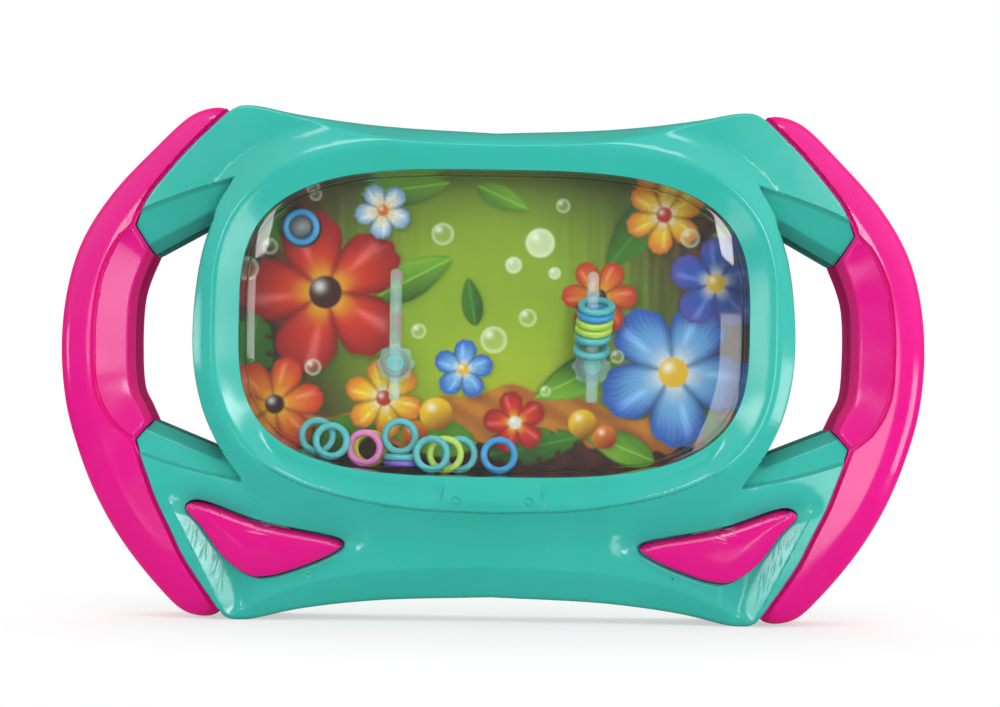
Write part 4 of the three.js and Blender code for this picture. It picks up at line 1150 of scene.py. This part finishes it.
def lathe(name, profile, looks, x, z, alongZ=False, h=0.0, steps=48, wave=None, angle=35):
    # A turned piece: pairs of radius and height carried round a line along Y, or along Z. Beyond the
    # wave's start the radius shrinks by a cosine of so many times the angle
    turn = 2 * np.pi * np.arange(steps) / steps
    rings = []
    for radius, height in profile:
        r = np.full(steps, float(radius))
        if wave is not None and radius > wave["start"]:
            r = r - wave["depth"] * (1 - np.cos(wave["count"] * turn)) / 2
        across, along, level = r * np.cos(turn), r * np.sin(turn), np.full(steps, float(height))
        if alongZ:
            rings.append(np.column_stack([x + across, h - along, level]))
        else:
            rings.append(np.column_stack([x + across, level, z + along]))
    return ringStack(name, rings, looks, angle=angle)


def peg(side):
    # The upright rod with a rounded tip, and the wavy flange and boss that carry it
    s = pegSizes
    name = sideName(side)
    x = side * s["x"]
    low = windowSizes["bottomBand"] + s["tail"]
    top = windowSizes["bottomBand"] + s["top"]
    tipTurn = np.linspace(0, math.pi / 2, 7)[:-1]
    tip = [(s["radius"] * math.cos(a), top - s["radius"] * (1 - math.sin(a))) for a in tipTurn]
    foot = [(s["radius"] * math.sin(a), low + s["radius"] * (1 - math.cos(a)) * .5) for a in tipTurn[1:]]
    rod = [(axisRadius, low), *foot, *tip, (axisRadius, top)]
    rodLooks = (pegPlastic, "body", "clear_plastic")
    lathe(name + "_peg_rod", rod, rodLooks, x, 0, alongZ=True, h=s["height"], steps=32)
    back = tankSizes["backFront"] + .3
    disc = back + s["disc"]
    flange, boss, front = s["flangeRadius"], s["bossRadius"], s["bossFront"]
    wide, slim = s["groove"]
    grooveFloor, eyeFloor = front - s["grooveDepth"], front - s["eyeDepth"]
    profile = [(axisRadius, back), (flange, back), (flange, disc - .2), (flange - .2, disc)]
    profile += [(boss + .3, disc), (boss, disc + .3), (boss, front - .4), (boss - .4, front)]
    profile += [(wide, front), (wide - .1, grooveFloor), (slim + .1, grooveFloor), (slim, front)]
    profile += [(s["eye"], front), (s["eye"] - .2, eyeFloor), (axisRadius, eyeFloor)]
    looks = (pegPlastic, "body", "clear_plastic", [name + "_peg"])
    wave = dict(start=boss + .6, depth=s["scallop"], count=s["waves"])
    lathe(name + "_peg_boss", profile, looks, x, bossZ, steps=96, wave=wave)
    tealTop = front - s["coreSink"]
    core = [(axisRadius, back + .1), (s["core"], back + .1), (s["core"], tealTop - .3)]
    core += [(s["core"] - .3, tealTop), (axisRadius, tealTop)]
    lathe(name + "_peg_core", core, (tealPlastic, "body", "teal_plastic"), x, bossZ, steps=40)


for side in (1, -1):
    peg(side)

plugSizes = dict(
    dome=2.8, domeTip=3.4, stem=4.2, stemEnd=0.0, bore=3.2, boreEnd=-1.0, cap=7.8, capFront=-9.4,
    capBack=-11.4,
)


def fillPlug():
    # The dome in the tank, the stem in its neck and the cap behind, open at the back
    s = plugSizes
    cap, stem, dome = s["cap"], s["stem"], s["dome"]
    capFront, capBack, stemEnd = s["capFront"], s["capBack"], s["stemEnd"]
    profile = [(axisRadius, s["boreEnd"]), (s["bore"], s["boreEnd"]), (s["bore"], capBack)]
    profile += [(cap - .5, capBack), (cap - .15, capBack + .15), (cap, capBack + .5)]
    profile += [(cap, capFront - .2), (cap - .2, capFront)]
    profile += [(stem, capFront), (stem, stemEnd - .3), (stem - .3, stemEnd)]
    for a in np.linspace(0, math.pi / 2, 9)[:-1]:
        profile.append((dome * math.cos(a), s["domeTip"] - dome * (1 - math.sin(a))))
    profile.append((axisRadius, s["domeTip"]))
    looks = (plugRubber, "fill_plug", "grey_rubber", ["fill_plug"])
    lathe("filler_plug", profile, looks, plugX, plugZ, steps=72)


fillPlug()


def flatCircle(x, z, radius, h, turn):
    # Points of a circle at one height, in the directions given
    return np.column_stack([x + radius * np.cos(turn), np.full(len(turn), h), z + radius * np.sin(turn)])


def tankFloor():
    # The clear plate behind the tank. Its outline and its round mouth for the plug are points in
    # the same directions from the mouth's middle, and a slim neck runs back from the mouth
    s = tankSizes
    edge = superellipse(lensSizes["points"], lensSizes["outset"] + lensSizes["flange"])
    way = np.arctan2(edge[:, 1] - plugZ, edge[:, 0] - plugX)

    def rim(h):
        return np.column_stack([edge[:, 0], np.full(len(way), h), edge[:, 1]])

    def mouth(radius, h):
        return flatCircle(plugX, plugZ, radius, h, way)
    rings = [mouth(s["mouth"], s["backFront"]), rim(s["backFront"]), rim(s["backRear"])]
    rings += [mouth(s["neck"], s["backRear"]), mouth(s["neck"], s["neckEnd"])]
    rings.append(mouth(s["mouth"], s["neckEnd"]))
    looks = (innerClear, "body", "clear_plastic", ["tank_back"])
    ringStack("tank_floor", rings, looks, closeStart=False, closeEnd=False)


tankFloor()

screwSizes = dict(
    head=2.7, headTop=-11.2, dome=.35, crossHalf=.38, crossReach=1.6, crossDepth=1.0, seat=-9.6, shank=1.2,
    shankEnd=5.8, point=.1, pointEnd=7.0,
)


def screws():
    # Pan heads with a cross cut into a disc of rings and spokes, over a plain shank with a point
    s = screwSizes
    spots = [(x * side, z, f"shell_screw_{2 * i + (1 if side > 0 else 2)}")
             for i, (x, z) in enumerate(screwSpots) for side in (1, -1)]
    spots += [(x * side, z, f"{sideName(side)}_handle_screw_{i + 1}")
              for i, (x, z) in enumerate(handleScrewSpots) for side in (1, -1)]
    turn = 2 * np.pi * np.arange(48) / 48
    shank = [(s["head"], s["seat"]), (s["shank"], s["seat"]), (s["shank"], s["shankEnd"])]
    shank.append((s["point"], s["pointEnd"]))
    for x, z, node in spots:
        rings = []
        for radius in (.05, .35, .6, .9, 1.2, 1.5, 1.65, 1.9, 2.3, 2.6, s["head"]):
            px, pz = radius * np.cos(turn), radius * np.sin(turn)
            inCross = (np.minimum(np.abs(px), np.abs(pz)) < s["crossHalf"]) & (radius < s["crossReach"])
            depth = s["headTop"] + s["dome"] * (radius / s["head"])**4 + s["crossDepth"] * inCross
            rings.append(np.column_stack([x + px, depth, z + pz]))
        for radius, h in shank:
            rings.append(flatCircle(x, z, radius, h, turn))
        ringStack(node + "_turned", rings, (screwSteel, "body", "screw_steel", [node]), angle=30)


screws()
print("pegs, plug and screws made")


def paint(canvas, share, color):
    # Lays a colour, or a colour for each place, over the canvas by a share from 0 to 1
    return canvas + (np.asarray(color) - canvas) * share[:, None]


def soft(distance, width=.35):
    # 0 outside an edge and 1 inside it, over a narrow width
    return np.clip(distance / width + .5, 0, 1)


def turnedTo(x, z, middle, degrees):
    # Coordinates along and across a line through the middle at an angle
    t = math.radians(degrees)
    dx, dz = x - middle[0], z - middle[1]
    return dx * math.cos(t) + dz * math.sin(t), dz * math.cos(t) - dx * math.sin(t)


def tone(r, g, b):
    # An ink as an array, from the numbers of a picture
    return np.array(linear(r, g, b))


def paintLeaf(canvas, x, z, middle, length, width, degrees, dark, light, notches=0):
    # A leaf: its half breadth is the width times a rounded bow of the place along it, with notches
    # as a cosine comb, a pale midrib and slanting side veins
    along, across = turnedTo(x, z, middle, degrees)
    u = np.clip(2 * along / length, -1, 1)
    bow = np.clip(1 - u * u, 0, 1)**.75 * (1 - .25 * u)
    comb = 1 - .35 * (np.cos(notches * np.pi * u + .8 * np.abs(across) / width) > .55) if notches else 1.0
    edge = width / 2 * bow * comb - np.abs(across)
    inside = soft(edge, .4) * (np.abs(along) < length / 2)
    shadow = soft(width / 2 * bow - np.abs(across + .9), 1.6) * (np.abs(along) < length / 2) * .35
    canvas = paint(canvas, shadow, canvas * .25)
    veins = np.abs(np.sin((along - np.abs(across) * 1.1) * 2 * np.pi / 2.6))**8
    body = mix(dark, light, np.clip(.5 + across / width + .25 * u, 0, 1)[:, None])
    canvas = paint(canvas, inside, body)
    canvas = paint(canvas, inside * veins * .28, light * 1.35)
    canvas = paint(canvas, inside * soft(.22 - np.abs(across), .25) * .7, light * 1.5 + .02)
    return paint(canvas, inside * soft(.35 - edge, .4) * .45, dark * .4)


def paintFlower(canvas, x, z, middle, radius, petals, degrees, heart, petal, rimColor, core):
    # A flower: the edge's radius follows the root of a cosine of the angle times the number of
    # petals, the colour runs from the heart to the rim, and streaks run outwards
    dx, dz = x - middle[0], z - middle[1]
    r = np.hypot(dx, dz)
    angle = np.arctan2(dz, dx) - math.radians(degrees)
    lobe = np.abs(np.cos(petals * angle / 2))
    frill = 1 + .0175 * np.sin(angle * petals * 5 + 2 * np.sin(angle * 3))
    edge = radius * (.52 + .48 * lobe**.55) * frill
    share = np.clip(r / edge, 0, 1.5)
    shadow = soft(edge * 1.02 - np.hypot(dx - .6, dz + 1.1), 2.2) * .5
    canvas = paint(canvas, shadow, canvas * .22)
    body = mix(heart, petal, ease(share * 1.9)[:, None])
    body = mix(body, rimColor, ease((share - .45) * 1.7)[:, None])
    turnWithin = np.mod(petals * angle / (2 * np.pi) + .5, 1) - .5
    body = body * (1 - .42 * ease((np.abs(turnWithin) - .3) * 5)[:, None])
    streaks = np.abs(np.sin(angle * petals * 6.5 + .9 * np.sin(r * .7)))**6 * ease((share - .12) * 4)
    body = mix(body, body * .62, (streaks * .55)[:, None])
    shine = np.exp(-((turnWithin - .13) / .07)**2) * ease((share - .35) * 5) * (1 - ease((share - .8) * 6))
    body = mix(body, np.minimum(body * 1.5 + .12, 1), (shine * .7)[:, None])
    inside = soft(edge - r, .4)
    canvas = paint(canvas, inside, body)
    canvas = paint(canvas, inside * soft(.35 - (edge - r), .4) * .5, petal * .3)
    ball = radius * .2
    dots = .5 + .5 * np.sin(angle * 12) * np.sin(r * 4.5)
    canvas = paint(canvas, soft(ball - r, .5), mix(core, core * .45, (dots * .6)[:, None]))
    glint = np.exp(-(((dx + ball * .35)**2 + (dz - ball * .35)**2) / (ball * .35)**2))
    return paint(canvas, soft(ball - r, .5) * glint * .7, (1, 1, .9))


def paintBubble(canvas, x, z, middle, radius, solid=.15):
    # A bubble: a pale ring that brightens towards the rim, with a glint on each side
    dx, dz = x - middle[0], z - middle[1]
    r = np.hypot(dx, dz)
    inside = soft(radius - r, .35)
    ring = np.exp(-((r - radius * .9) / (radius * .16 + .12))**2)
    canvas = paint(canvas, inside * solid, (.78, .85, .55))
    canvas = paint(canvas, ring * .5 * inside, (.8, .88, .55))
    glint = np.exp(-(((dx + radius * .35)**2 + (dz - radius * .4)**2) / (radius * .3)**2))
    return paint(canvas, glint * inside * .75, (1, 1, .88))


def paintFruit(canvas, x, z, middle, radius, skin, light):
    # A round fruit, shaded from its lit side, with fine pores
    dx, dz = x - middle[0], z - middle[1]
    r = np.hypot(dx, dz)
    canvas = paint(canvas, soft(radius - np.hypot(dx - .5, dz + .9), 1.8) * .45, canvas * .25)
    lit = np.clip(.62 + (dz - dx * .6) / (2.2 * radius), 0, 1)
    pores = .5 + .5 * np.sin(dx * 9) * np.sin(dz * 9 + dx * 3)
    body = mix(skin * .35, light, ease(lit)[:, None]) * (1 - .12 * pores[:, None])
    canvas = paint(canvas, soft(radius - r, .4), body)
    glint = np.exp(-(((dx + radius * .3)**2 + (dz - radius * .42)**2) / (radius * .25)**2))
    return paint(canvas, glint * soft(radius - r, .4) * .7, (1, .96, .82))


inks = dict(
    deep=tone(34, 84, 22), mid=tone(66, 128, 30), fresh=tone(126, 178, 44), white=tone(240, 236, 222),
    yellow=tone(246, 196, 30), orange=tone(232, 120, 26), blue=tone(40, 92, 190), pale=tone(112, 172, 226),
    violet=tone(84, 84, 176), red=tone(160, 18, 20), scarlet=tone(214, 46, 22), maroon=tone(70, 14, 24),
    plum=tone(160, 30, 90), rose=tone(220, 80, 140),
)
garden = dict(
    # A leaf has its middle, length, breadth, angle, two inks and a count of notches
    leaves=[
        ((-62, 108), 28, 12, -60, "deep", "mid", 5), ((-24, 114), 24, 9, 8, "deep", "fresh", 0),
        ((-64, 70), 26, 11, 84, "deep", "mid", 6), ((-22, 90), 24, 10, 28, "deep", "fresh", 0),
        ((56, 114), 30, 12, 196, "deep", "mid", 5), ((63, 96), 26, 12, 100, "deep", "fresh", 6),
        ((38, 104), 26, 11, 232, "deep", "mid", 0), ((22, 64), 24, 10, 206, "deep", "fresh", 0),
        ((62, 48), 26, 11, 130, "deep", "mid", 5), ((12, 46), 26, 9, 12, "deep", "mid", 5),
        ((-16, 48), 24, 10, 172, "mid", "fresh", 0), ((-40, 48), 24, 10, 24, "deep", "mid", 0),
        ((34, 46), 20, 8, 158, "mid", "fresh", 0), ((-62, 50), 20, 9, 60, "mid", "fresh", 0),
        ((2, 112), 15, 6, -24, "mid", "fresh", 0), ((-6, 84), 13, 5.5, 100, "deep", "mid", 0),
    ],
    # A flower has its middle, radius, number of petals, angle, and inks from its heart to its core
    flowers=[
        ((-45, 86), 22, 5, 34, "yellow", "scarlet", "red", "maroon"),
        ((-58, 56), 13, 6, 10, "yellow", "orange", "scarlet", "maroon"),
        ((-29, 58), 10.5, 6, 40, "white", "yellow", "orange", "scarlet"),
        ((48, 66), 20, 5, 60, "white", "pale", "blue", "yellow"),
        ((59, 90), 12.5, 5, 15, "white", "blue", "violet", "yellow"),
        ((28, 86), 10, 6, 0, "yellow", "orange", "scarlet", "maroon"),
        ((45, 108), 10.5, 6, 22, "white", "yellow", "orange", "scarlet"),
        ((-8, 66), 8, 5, 12, "white", "pale", "blue", "yellow"),
        ((-30, 108), 7.5, 5, 48, "yellow", "white", "pale", "orange"),
        ((6, 52), 8.5, 5, 30, "yellow", "scarlet", "red", "white"),
        ((66, 45), 8, 5, 30, "yellow", "orange", "red", "maroon"),
    ],
    # A fruit has its middle, radius and two inks
    fruits=[
        ((-15, 54), 4.4, "orange", "yellow"), ((-20.5, 48.5), 3.6, "scarlet", "orange"),
        ((24, 52), 3.8, "orange", "yellow"), ((30, 48.5), 3.2, "scarlet", "orange"),
        ((66, 108), 4.2, "plum", "rose"),
    ],
    # A bubble has its middle, radius and how solid it is
    bubbles=[
        ((12, 100), 3.9, .7), ((5, 94), 2.2, .65), ((16, 92), 1.6, .7), ((-14, 102), 3.0, .1),
        ((0, 74), 3.6, .12), ((9, 80), 2.4, .1), ((-66, 92), 3.2, .1), ((-60, 98), 2.2, .08),
        ((52, 102), 2.6, .08), ((33, 70), 1.8, .1), ((-20, 76), 2.0, .12), ((18, 110), 1.9, .12),
        ((-48, 66), 2.2, .08), ((14, 60.5), 1.4, .1), ((68, 76), 1.5, .1), ((-48, 112), 1.7, .12),
    ],
)


def gardenGround(x, z, w, up):
    # The green glow with its shafts of light, dark trunks at the sides, a hill and soil below. Each
    # is a share made of sines of the place and of how far it lies across and up the window
    glow = np.exp(-((w + .02)**2 / .32 + (up - .05)**2 / .9))
    canvas = mix(tone(58, 66, 20), tone(142, 172, 34), ease(glow * 1.15)[:, None])
    lowGlow = np.exp(-((w - .05)**2 / .12 + (up + .35)**2 / .12))
    canvas = mix(canvas, tone(176, 186, 30), (.55 * lowGlow)[:, None])
    shafts = .5 + .5 * np.sin(x * .62 + 1.4 * np.sin(x * .21)) * np.sin(x * 1.9 + .6)
    reach = ease((up + .2 + .25 * np.sin(x * 1.1)) * 1.6) * ease((1.05 - up) * 1.5)
    canvas = mix(canvas, tone(150, 182, 58), (.34 * shafts * reach)[:, None])
    dark = ease((np.abs(w + .06 * np.sin(z * .21)) - .52) * 2.6)
    bark = .5 + .5 * np.sin(x * 1.3 + 2.2 * np.sin(z * .33))
    canvas = paint(canvas, dark * .9, mix(tone(58, 24, 22), tone(98, 42, 34), bark[:, None]))
    hill = -.52 + .1 * np.sin(x * .075 + 1.2) + .03 * np.sin(x * .31)
    clay = (.5 + .5 * np.sin(x * .5 + z * .8))[:, None] * .6
    hillInk = mix(tone(196, 122, 34), tone(138, 70, 24), clay)
    canvas = paint(canvas, soft((hill - up) * windowHalfHeight, .8), hillInk)
    soil = -.78 + .07 * np.sin(x * .11 + .4) + .02 * np.sin(x * .9)
    clods = (.5 + .5 * np.sin(x * .8 + 1.5 * np.sin(z)))[:, None]
    soilInk = mix(tone(52, 20, 20), tone(84, 36, 26), clods)
    return paint(canvas, soft((soil - up) * windowHalfHeight, .7), soilInk)


def printedGarden(x, z):
    # The printed picture: a generic garden of leaves, flowers, fruit and bubbles on a green glow,
    # laid over one another in that order and darkened towards the window's edge
    w, up = x / windowHalfWidth, (z - windowZ) / windowHalfHeight
    canvas = gardenGround(x, z, w, up)
    for middle, length, breadth, degrees, shade, light, notches in garden["leaves"]:
        canvas = paintLeaf(canvas, x, z, middle, length, breadth, degrees, inks[shade], inks[light], notches)
    for middle, radius, petals, degrees, *colors in garden["flowers"]:
        canvas = paintFlower(canvas, x, z, middle, radius, petals, degrees, *(inks[c] for c in colors))
    for middle, radius, skin, light in garden["fruits"]:
        canvas = paintFruit(canvas, x, z, middle, radius, inks[skin], inks[light])
    for middle, radius, solid in garden["bubbles"]:
        canvas = paintBubble(canvas, x, z, middle, radius, solid)
    shade = 1 - .22 * ease((np.maximum(np.abs(w), np.abs(up)) - .8) * 4)
    return np.clip(canvas * shade[:, None], 0, 1)


def printedCard():
    # A satin print: the colours are an attribute of the sheet, under a faint screen of dots
    material, tree, shader = newMaterial("printed_card")
    ink = add(tree, "Attribute", attribute_name="ink")
    place = add(tree, "TexCoord").outputs["Object"]
    grain = between(tree, spread(tree, place, 2600, 2), .3, .7, 0, .22)
    base = blendColor(tree, grain, ink.outputs["Color"], (.55, .5, .38))
    faded = add(tree, "HueSaturation", {"Color": ink.outputs["Color"]}, Value=.93)
    fadedShare = between(tree, spread(tree, place, 60, 3), .35, .7)
    mixed = blendColor(tree, fadedShare, ink.outputs["Color"], faded.outputs[0])
    dotted = blendColor(tree, maths(tree, "MULTIPLY", grain, .12), mixed, base)
    tree.links.new(dotted, shader.inputs["Base Color"])
    tree.links.new(between(tree, spread(tree, place, 300, 3), .3, .7, .38, .55), shader.inputs["Roughness"])
    relief(tree, shader, spread(tree, place, 1800, 2), .05, .0002)
    shader.inputs["Specular IOR Level"].default_value = .15
    return material


cardSizes = dict(front=-3.6, back=-4.0, outset=1.2, plugHole=5.15, pegHole=2.7)


def cardFront(places):
    # The card is flat
    return np.full(len(places), cardSizes["front"])


def pictureCard():
    # The printed card behind the tank, with holes for the filler neck and the pegs
    s = cardSizes
    holes = [circleAt(plugX, plugZ, s["plugHole"], 64)]
    holes += [circleAt(side * pegSizes["x"], bossZ, s["pegHole"]) for side in (1, -1)]
    looks = (printedCard(), "body", "printed_card", ["picture_card"])
    piece = pressedShell("picture_sheet", superellipse(520, s["outset"]), holes, cardFront, [], looks,
                         lattice=.43, thick=s["front"] - s["back"], rim=s["back"], rimWidth=.2,
                         plainBack=True)
    mesh = piece.data
    places = np.empty(len(mesh.vertices) * 3)
    mesh.vertices.foreach_get("co", places)
    places = places.reshape(-1, 3) * 1000
    ink = np.ones((len(places), 4))
    ink[:, :3] = printedGarden(places[:, 0], places[:, 2])
    onBack = np.abs(game["partingY"] - places[:, 1] - s["back"]) < .05
    ink[onBack, :3] = tone(196, 186, 168)
    attribute = mesh.color_attributes.new("ink", "FLOAT_COLOR", "POINT")
    attribute.data.foreach_set("color", ink.ravel())


pictureCard()

pumpSizes = dict(
    across=.5177, up=.1437, radius=6.2, fold=1.3, folds=3, wall=.9, foot=-4.9, front=4.6, pressedShare=.58,
)


def pumps():
    # Bellows under the button, at one length: a zigzag wall of folds turned about the pump's axis
    s = pumpSizes
    x0, z0 = s["across"] * halfWidth, s["up"] * game["height"]
    radius, wall, foot, front = s["radius"], s["wall"], s["foot"], s["front"]
    pitch = (front - wall - foot) / s["folds"]
    outer = [(radius, foot)]
    for k in range(s["folds"]):
        outer += [(radius - s["fold"], foot + (k + .5) * pitch), (radius, foot + (k + 1) * pitch)]
    inner = [(r - wall, h) for r, h in outer][::-1]
    inner[0] = (inner[0][0], front - 1.5 * wall)
    profile = [(.05, front - wall), *inner, *outer, (radius - s["fold"], front), (.05, front)]
    for side in (1, -1):
        name = sideName(side)
        looks = (bellowsRubber, "body", "pump_rubber", [name + "_pump_bellows"])
        bellows = lathe(name + "_bellows", profile[::-1] if side < 0 else profile, looks, side * x0, z0)
        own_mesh(bellows)


pumps()

# The pieces that stay as the solids are take the finishes made here
kept = dict(right_pump_cup=innerClear, left_pump_cup=innerClear,
            right_pump_hose=bellowsRubber, left_pump_hose=bellowsRubber)
for node, material in kept.items():
    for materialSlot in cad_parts[node].material_slots:
        materialSlot.material = material
print("card, pumps and kept pieces made")

# Camera, lights and floor
cameraSizes = dict(
    place=(-.006, -.662, .060), target=(.0016, -.005, .0702), roll=.88, lens=90.35,
)


def makeCamera():
    # The camera looks at the target and is rolled about its own line of sight
    data = bpy.data.cameras.new("camera")
    data.lens = cameraSizes["lens"]
    data.sensor_width = 36
    data.clip_start = .01
    camera = bpy.data.objects.new("camera", data)
    bpy.context.scene.collection.objects.link(camera)
    camera.location = cameraSizes["place"]
    way = Vector(cameraSizes["target"]) - Vector(cameraSizes["place"])
    camera.rotation_mode = "QUATERNION"
    roll = Quaternion((0, 0, 1), math.radians(cameraSizes["roll"]))
    camera.rotation_quaternion = way.to_track_quat("-Z", "Y") @ roll
    bpy.context.scene.camera = camera


# Each lamp has its place, its breadth and height in metres, and the brightness of its face
lamps = dict(
    rightFront=dict(place=(.296, -.884, -.02), size=(.248, .265), bright=4.1),
    leftFront=dict(place=(-.35, -.854, .105), size=(.09, .08), bright=4.6),
    leftLow=dict(place=(-.245, -.87, -.13), size=(.17, .15), bright=2.3),
    rightUpper=dict(place=(.265, -.80, .225), size=(.105, .12), bright=11.5),
    leftUpper=dict(place=(-.265, -.80, .225), size=(.105, .12), bright=8.0),
    rightSide=dict(place=(.615, -.186, -.125), size=(.23, .38), bright=5.5),
    leftSide=dict(place=(-.76, -.12, .07), size=(.10, .10), bright=5.5),
    top=dict(place=(0.0, -.38, .89), size=(.70, .16), bright=5.5),
)


def makeLamps():
    # Square lamps that face the object, with the power that a face of that brightness gives off
    for name, s in lamps.items():
        data = bpy.data.lights.new(name, "AREA")
        data.shape = "RECTANGLE"
        data.size, data.size_y = s["size"]
        data.energy = s["bright"] * math.pi * data.size * data.size_y
        lamp = bpy.data.objects.new(name, data)
        bpy.context.scene.collection.objects.link(lamp)
        lamp.location = s["place"]
        lamp.rotation_mode = "QUATERNION"
        lamp.rotation_quaternion = (Vector((0, 0, .067)) - lamp.location).to_track_quat("-Z", "Y")


roomSizes = dict(
    litBelow=.455, litAbove=.92, litBehind=1.75, mirrorBelow=.12, mirrorAbove=.85, mirrorAhead=.25,
    mirrorBehind=.22,
)


def makeWorld():
    # A white backdrop for direct sight. Matt faces get more light from above than from below, and
    # mirror rays meet a room that is bright above, and dim below, behind and at the camera
    s = roomSizes
    world = bpy.data.worlds.new("white_room")
    world.use_nodes = True
    tree = world.node_tree
    tree.nodes.clear()
    output = tree.nodes.new("ShaderNodeOutputWorld")
    ray = add(tree, "LightPath")
    way = add(tree, "SeparateXYZ", {0: add(tree, "TexCoord").outputs["Generated"]})
    lit = between(tree, way.outputs["Z"], -.6, .8, s["litBelow"], s["litAbove"])
    lit = maths(tree, "MULTIPLY", lit, between(tree, way.outputs["Y"], -.05, .3, 1, s["litBehind"]))
    mirror = between(tree, way.outputs["Z"], -.1, .45, s["mirrorBelow"], s["mirrorAbove"])
    beside = maths(tree, "ABSOLUTE", way.outputs["X"], 0)
    ahead = between(tree, beside, .1, .4, s["mirrorAhead"], 1)
    behind = between(tree, way.outputs["Y"], -.05, .3, 1, s["mirrorBehind"])
    mirror = maths(tree, "MULTIPLY", mirror, maths(tree, "MULTIPLY", ahead, behind))
    step = maths(tree, "MULTIPLY", maths(tree, "SUBTRACT", mirror, lit), ray.outputs["Is Glossy Ray"])
    room = add(tree, "Background", {"Strength": maths(tree, "ADD", lit, step)}, Color=(1, 1, 1, 1))
    white = add(tree, "Background", Color=(1, 1, 1, 1), Strength=1.0)
    direct = maths(tree, "MAXIMUM", ray.outputs["Is Camera Ray"], ray.outputs["Is Transmission Ray"])
    either = add(tree, "MixShader", {0: direct, 1: room.outputs[0], 2: white.outputs[0]})
    tree.links.new(either.outputs[0], output.inputs[0])
    bpy.context.scene.world = world


floorSizes = dict(low=(-.22, -.20), high=(.22, .30), fadeStart=.1, fadeEnd=.2, mirror=.13)


def makeFloor():
    # A pale sheet that keeps the object's shadow and fades into the backdrop's white
    s = floorSizes
    (x0, y0), (x1, y1) = s["low"], s["high"]
    mesh = bpy.data.meshes.new("floor")
    mesh.from_pydata([(x0, y0, 0), (x1, y0, 0), (x1, y1, 0), (x0, y1, 0)], [], [(0, 1, 2, 3)])
    floor = bpy.data.objects.new("floor", mesh)
    bpy.context.scene.collection.objects.link(floor)
    material, tree, shader = newMaterial("floor_paper")
    shader.inputs["Base Color"].default_value = (.86, .86, .86, 1)
    shader.inputs["Roughness"].default_value = .9
    place = add(tree, "TexCoord").outputs["Object"]
    away = add(tree, "VectorMath", {0: place}, operation="LENGTH").outputs["Value"]
    far = between(tree, away, s["fadeStart"], s["fadeEnd"], .55, 1)
    ray = add(tree, "LightPath")
    direct = maths(tree, "MAXIMUM", ray.outputs["Is Camera Ray"], ray.outputs["Is Transmission Ray"])
    glow = add(tree, "Emission", Color=(1, 1, 1, 1), Strength=1.0)
    dim = add(tree, "Emission", Color=(1, 1, 1, 1), Strength=s["mirror"])
    share = maths(tree, "MULTIPLY", far, direct)
    sheet = add(tree, "MixShader", {0: share, 1: shader.outputs[0], 2: glow.outputs[0]})
    either = add(tree, "MixShader", {0: ray.outputs["Is Glossy Ray"], 1: sheet.outputs[0], 2: dim.outputs[0]})
    tree.links.new(either.outputs[0], outputOf(tree).inputs[0])
    mesh.materials.append(material)


makeCamera()
makeLamps()
makeWorld()
makeFloor()
bpy.context.scene.view_settings.view_transform = "Standard"
print("camera, lamps and floor made")
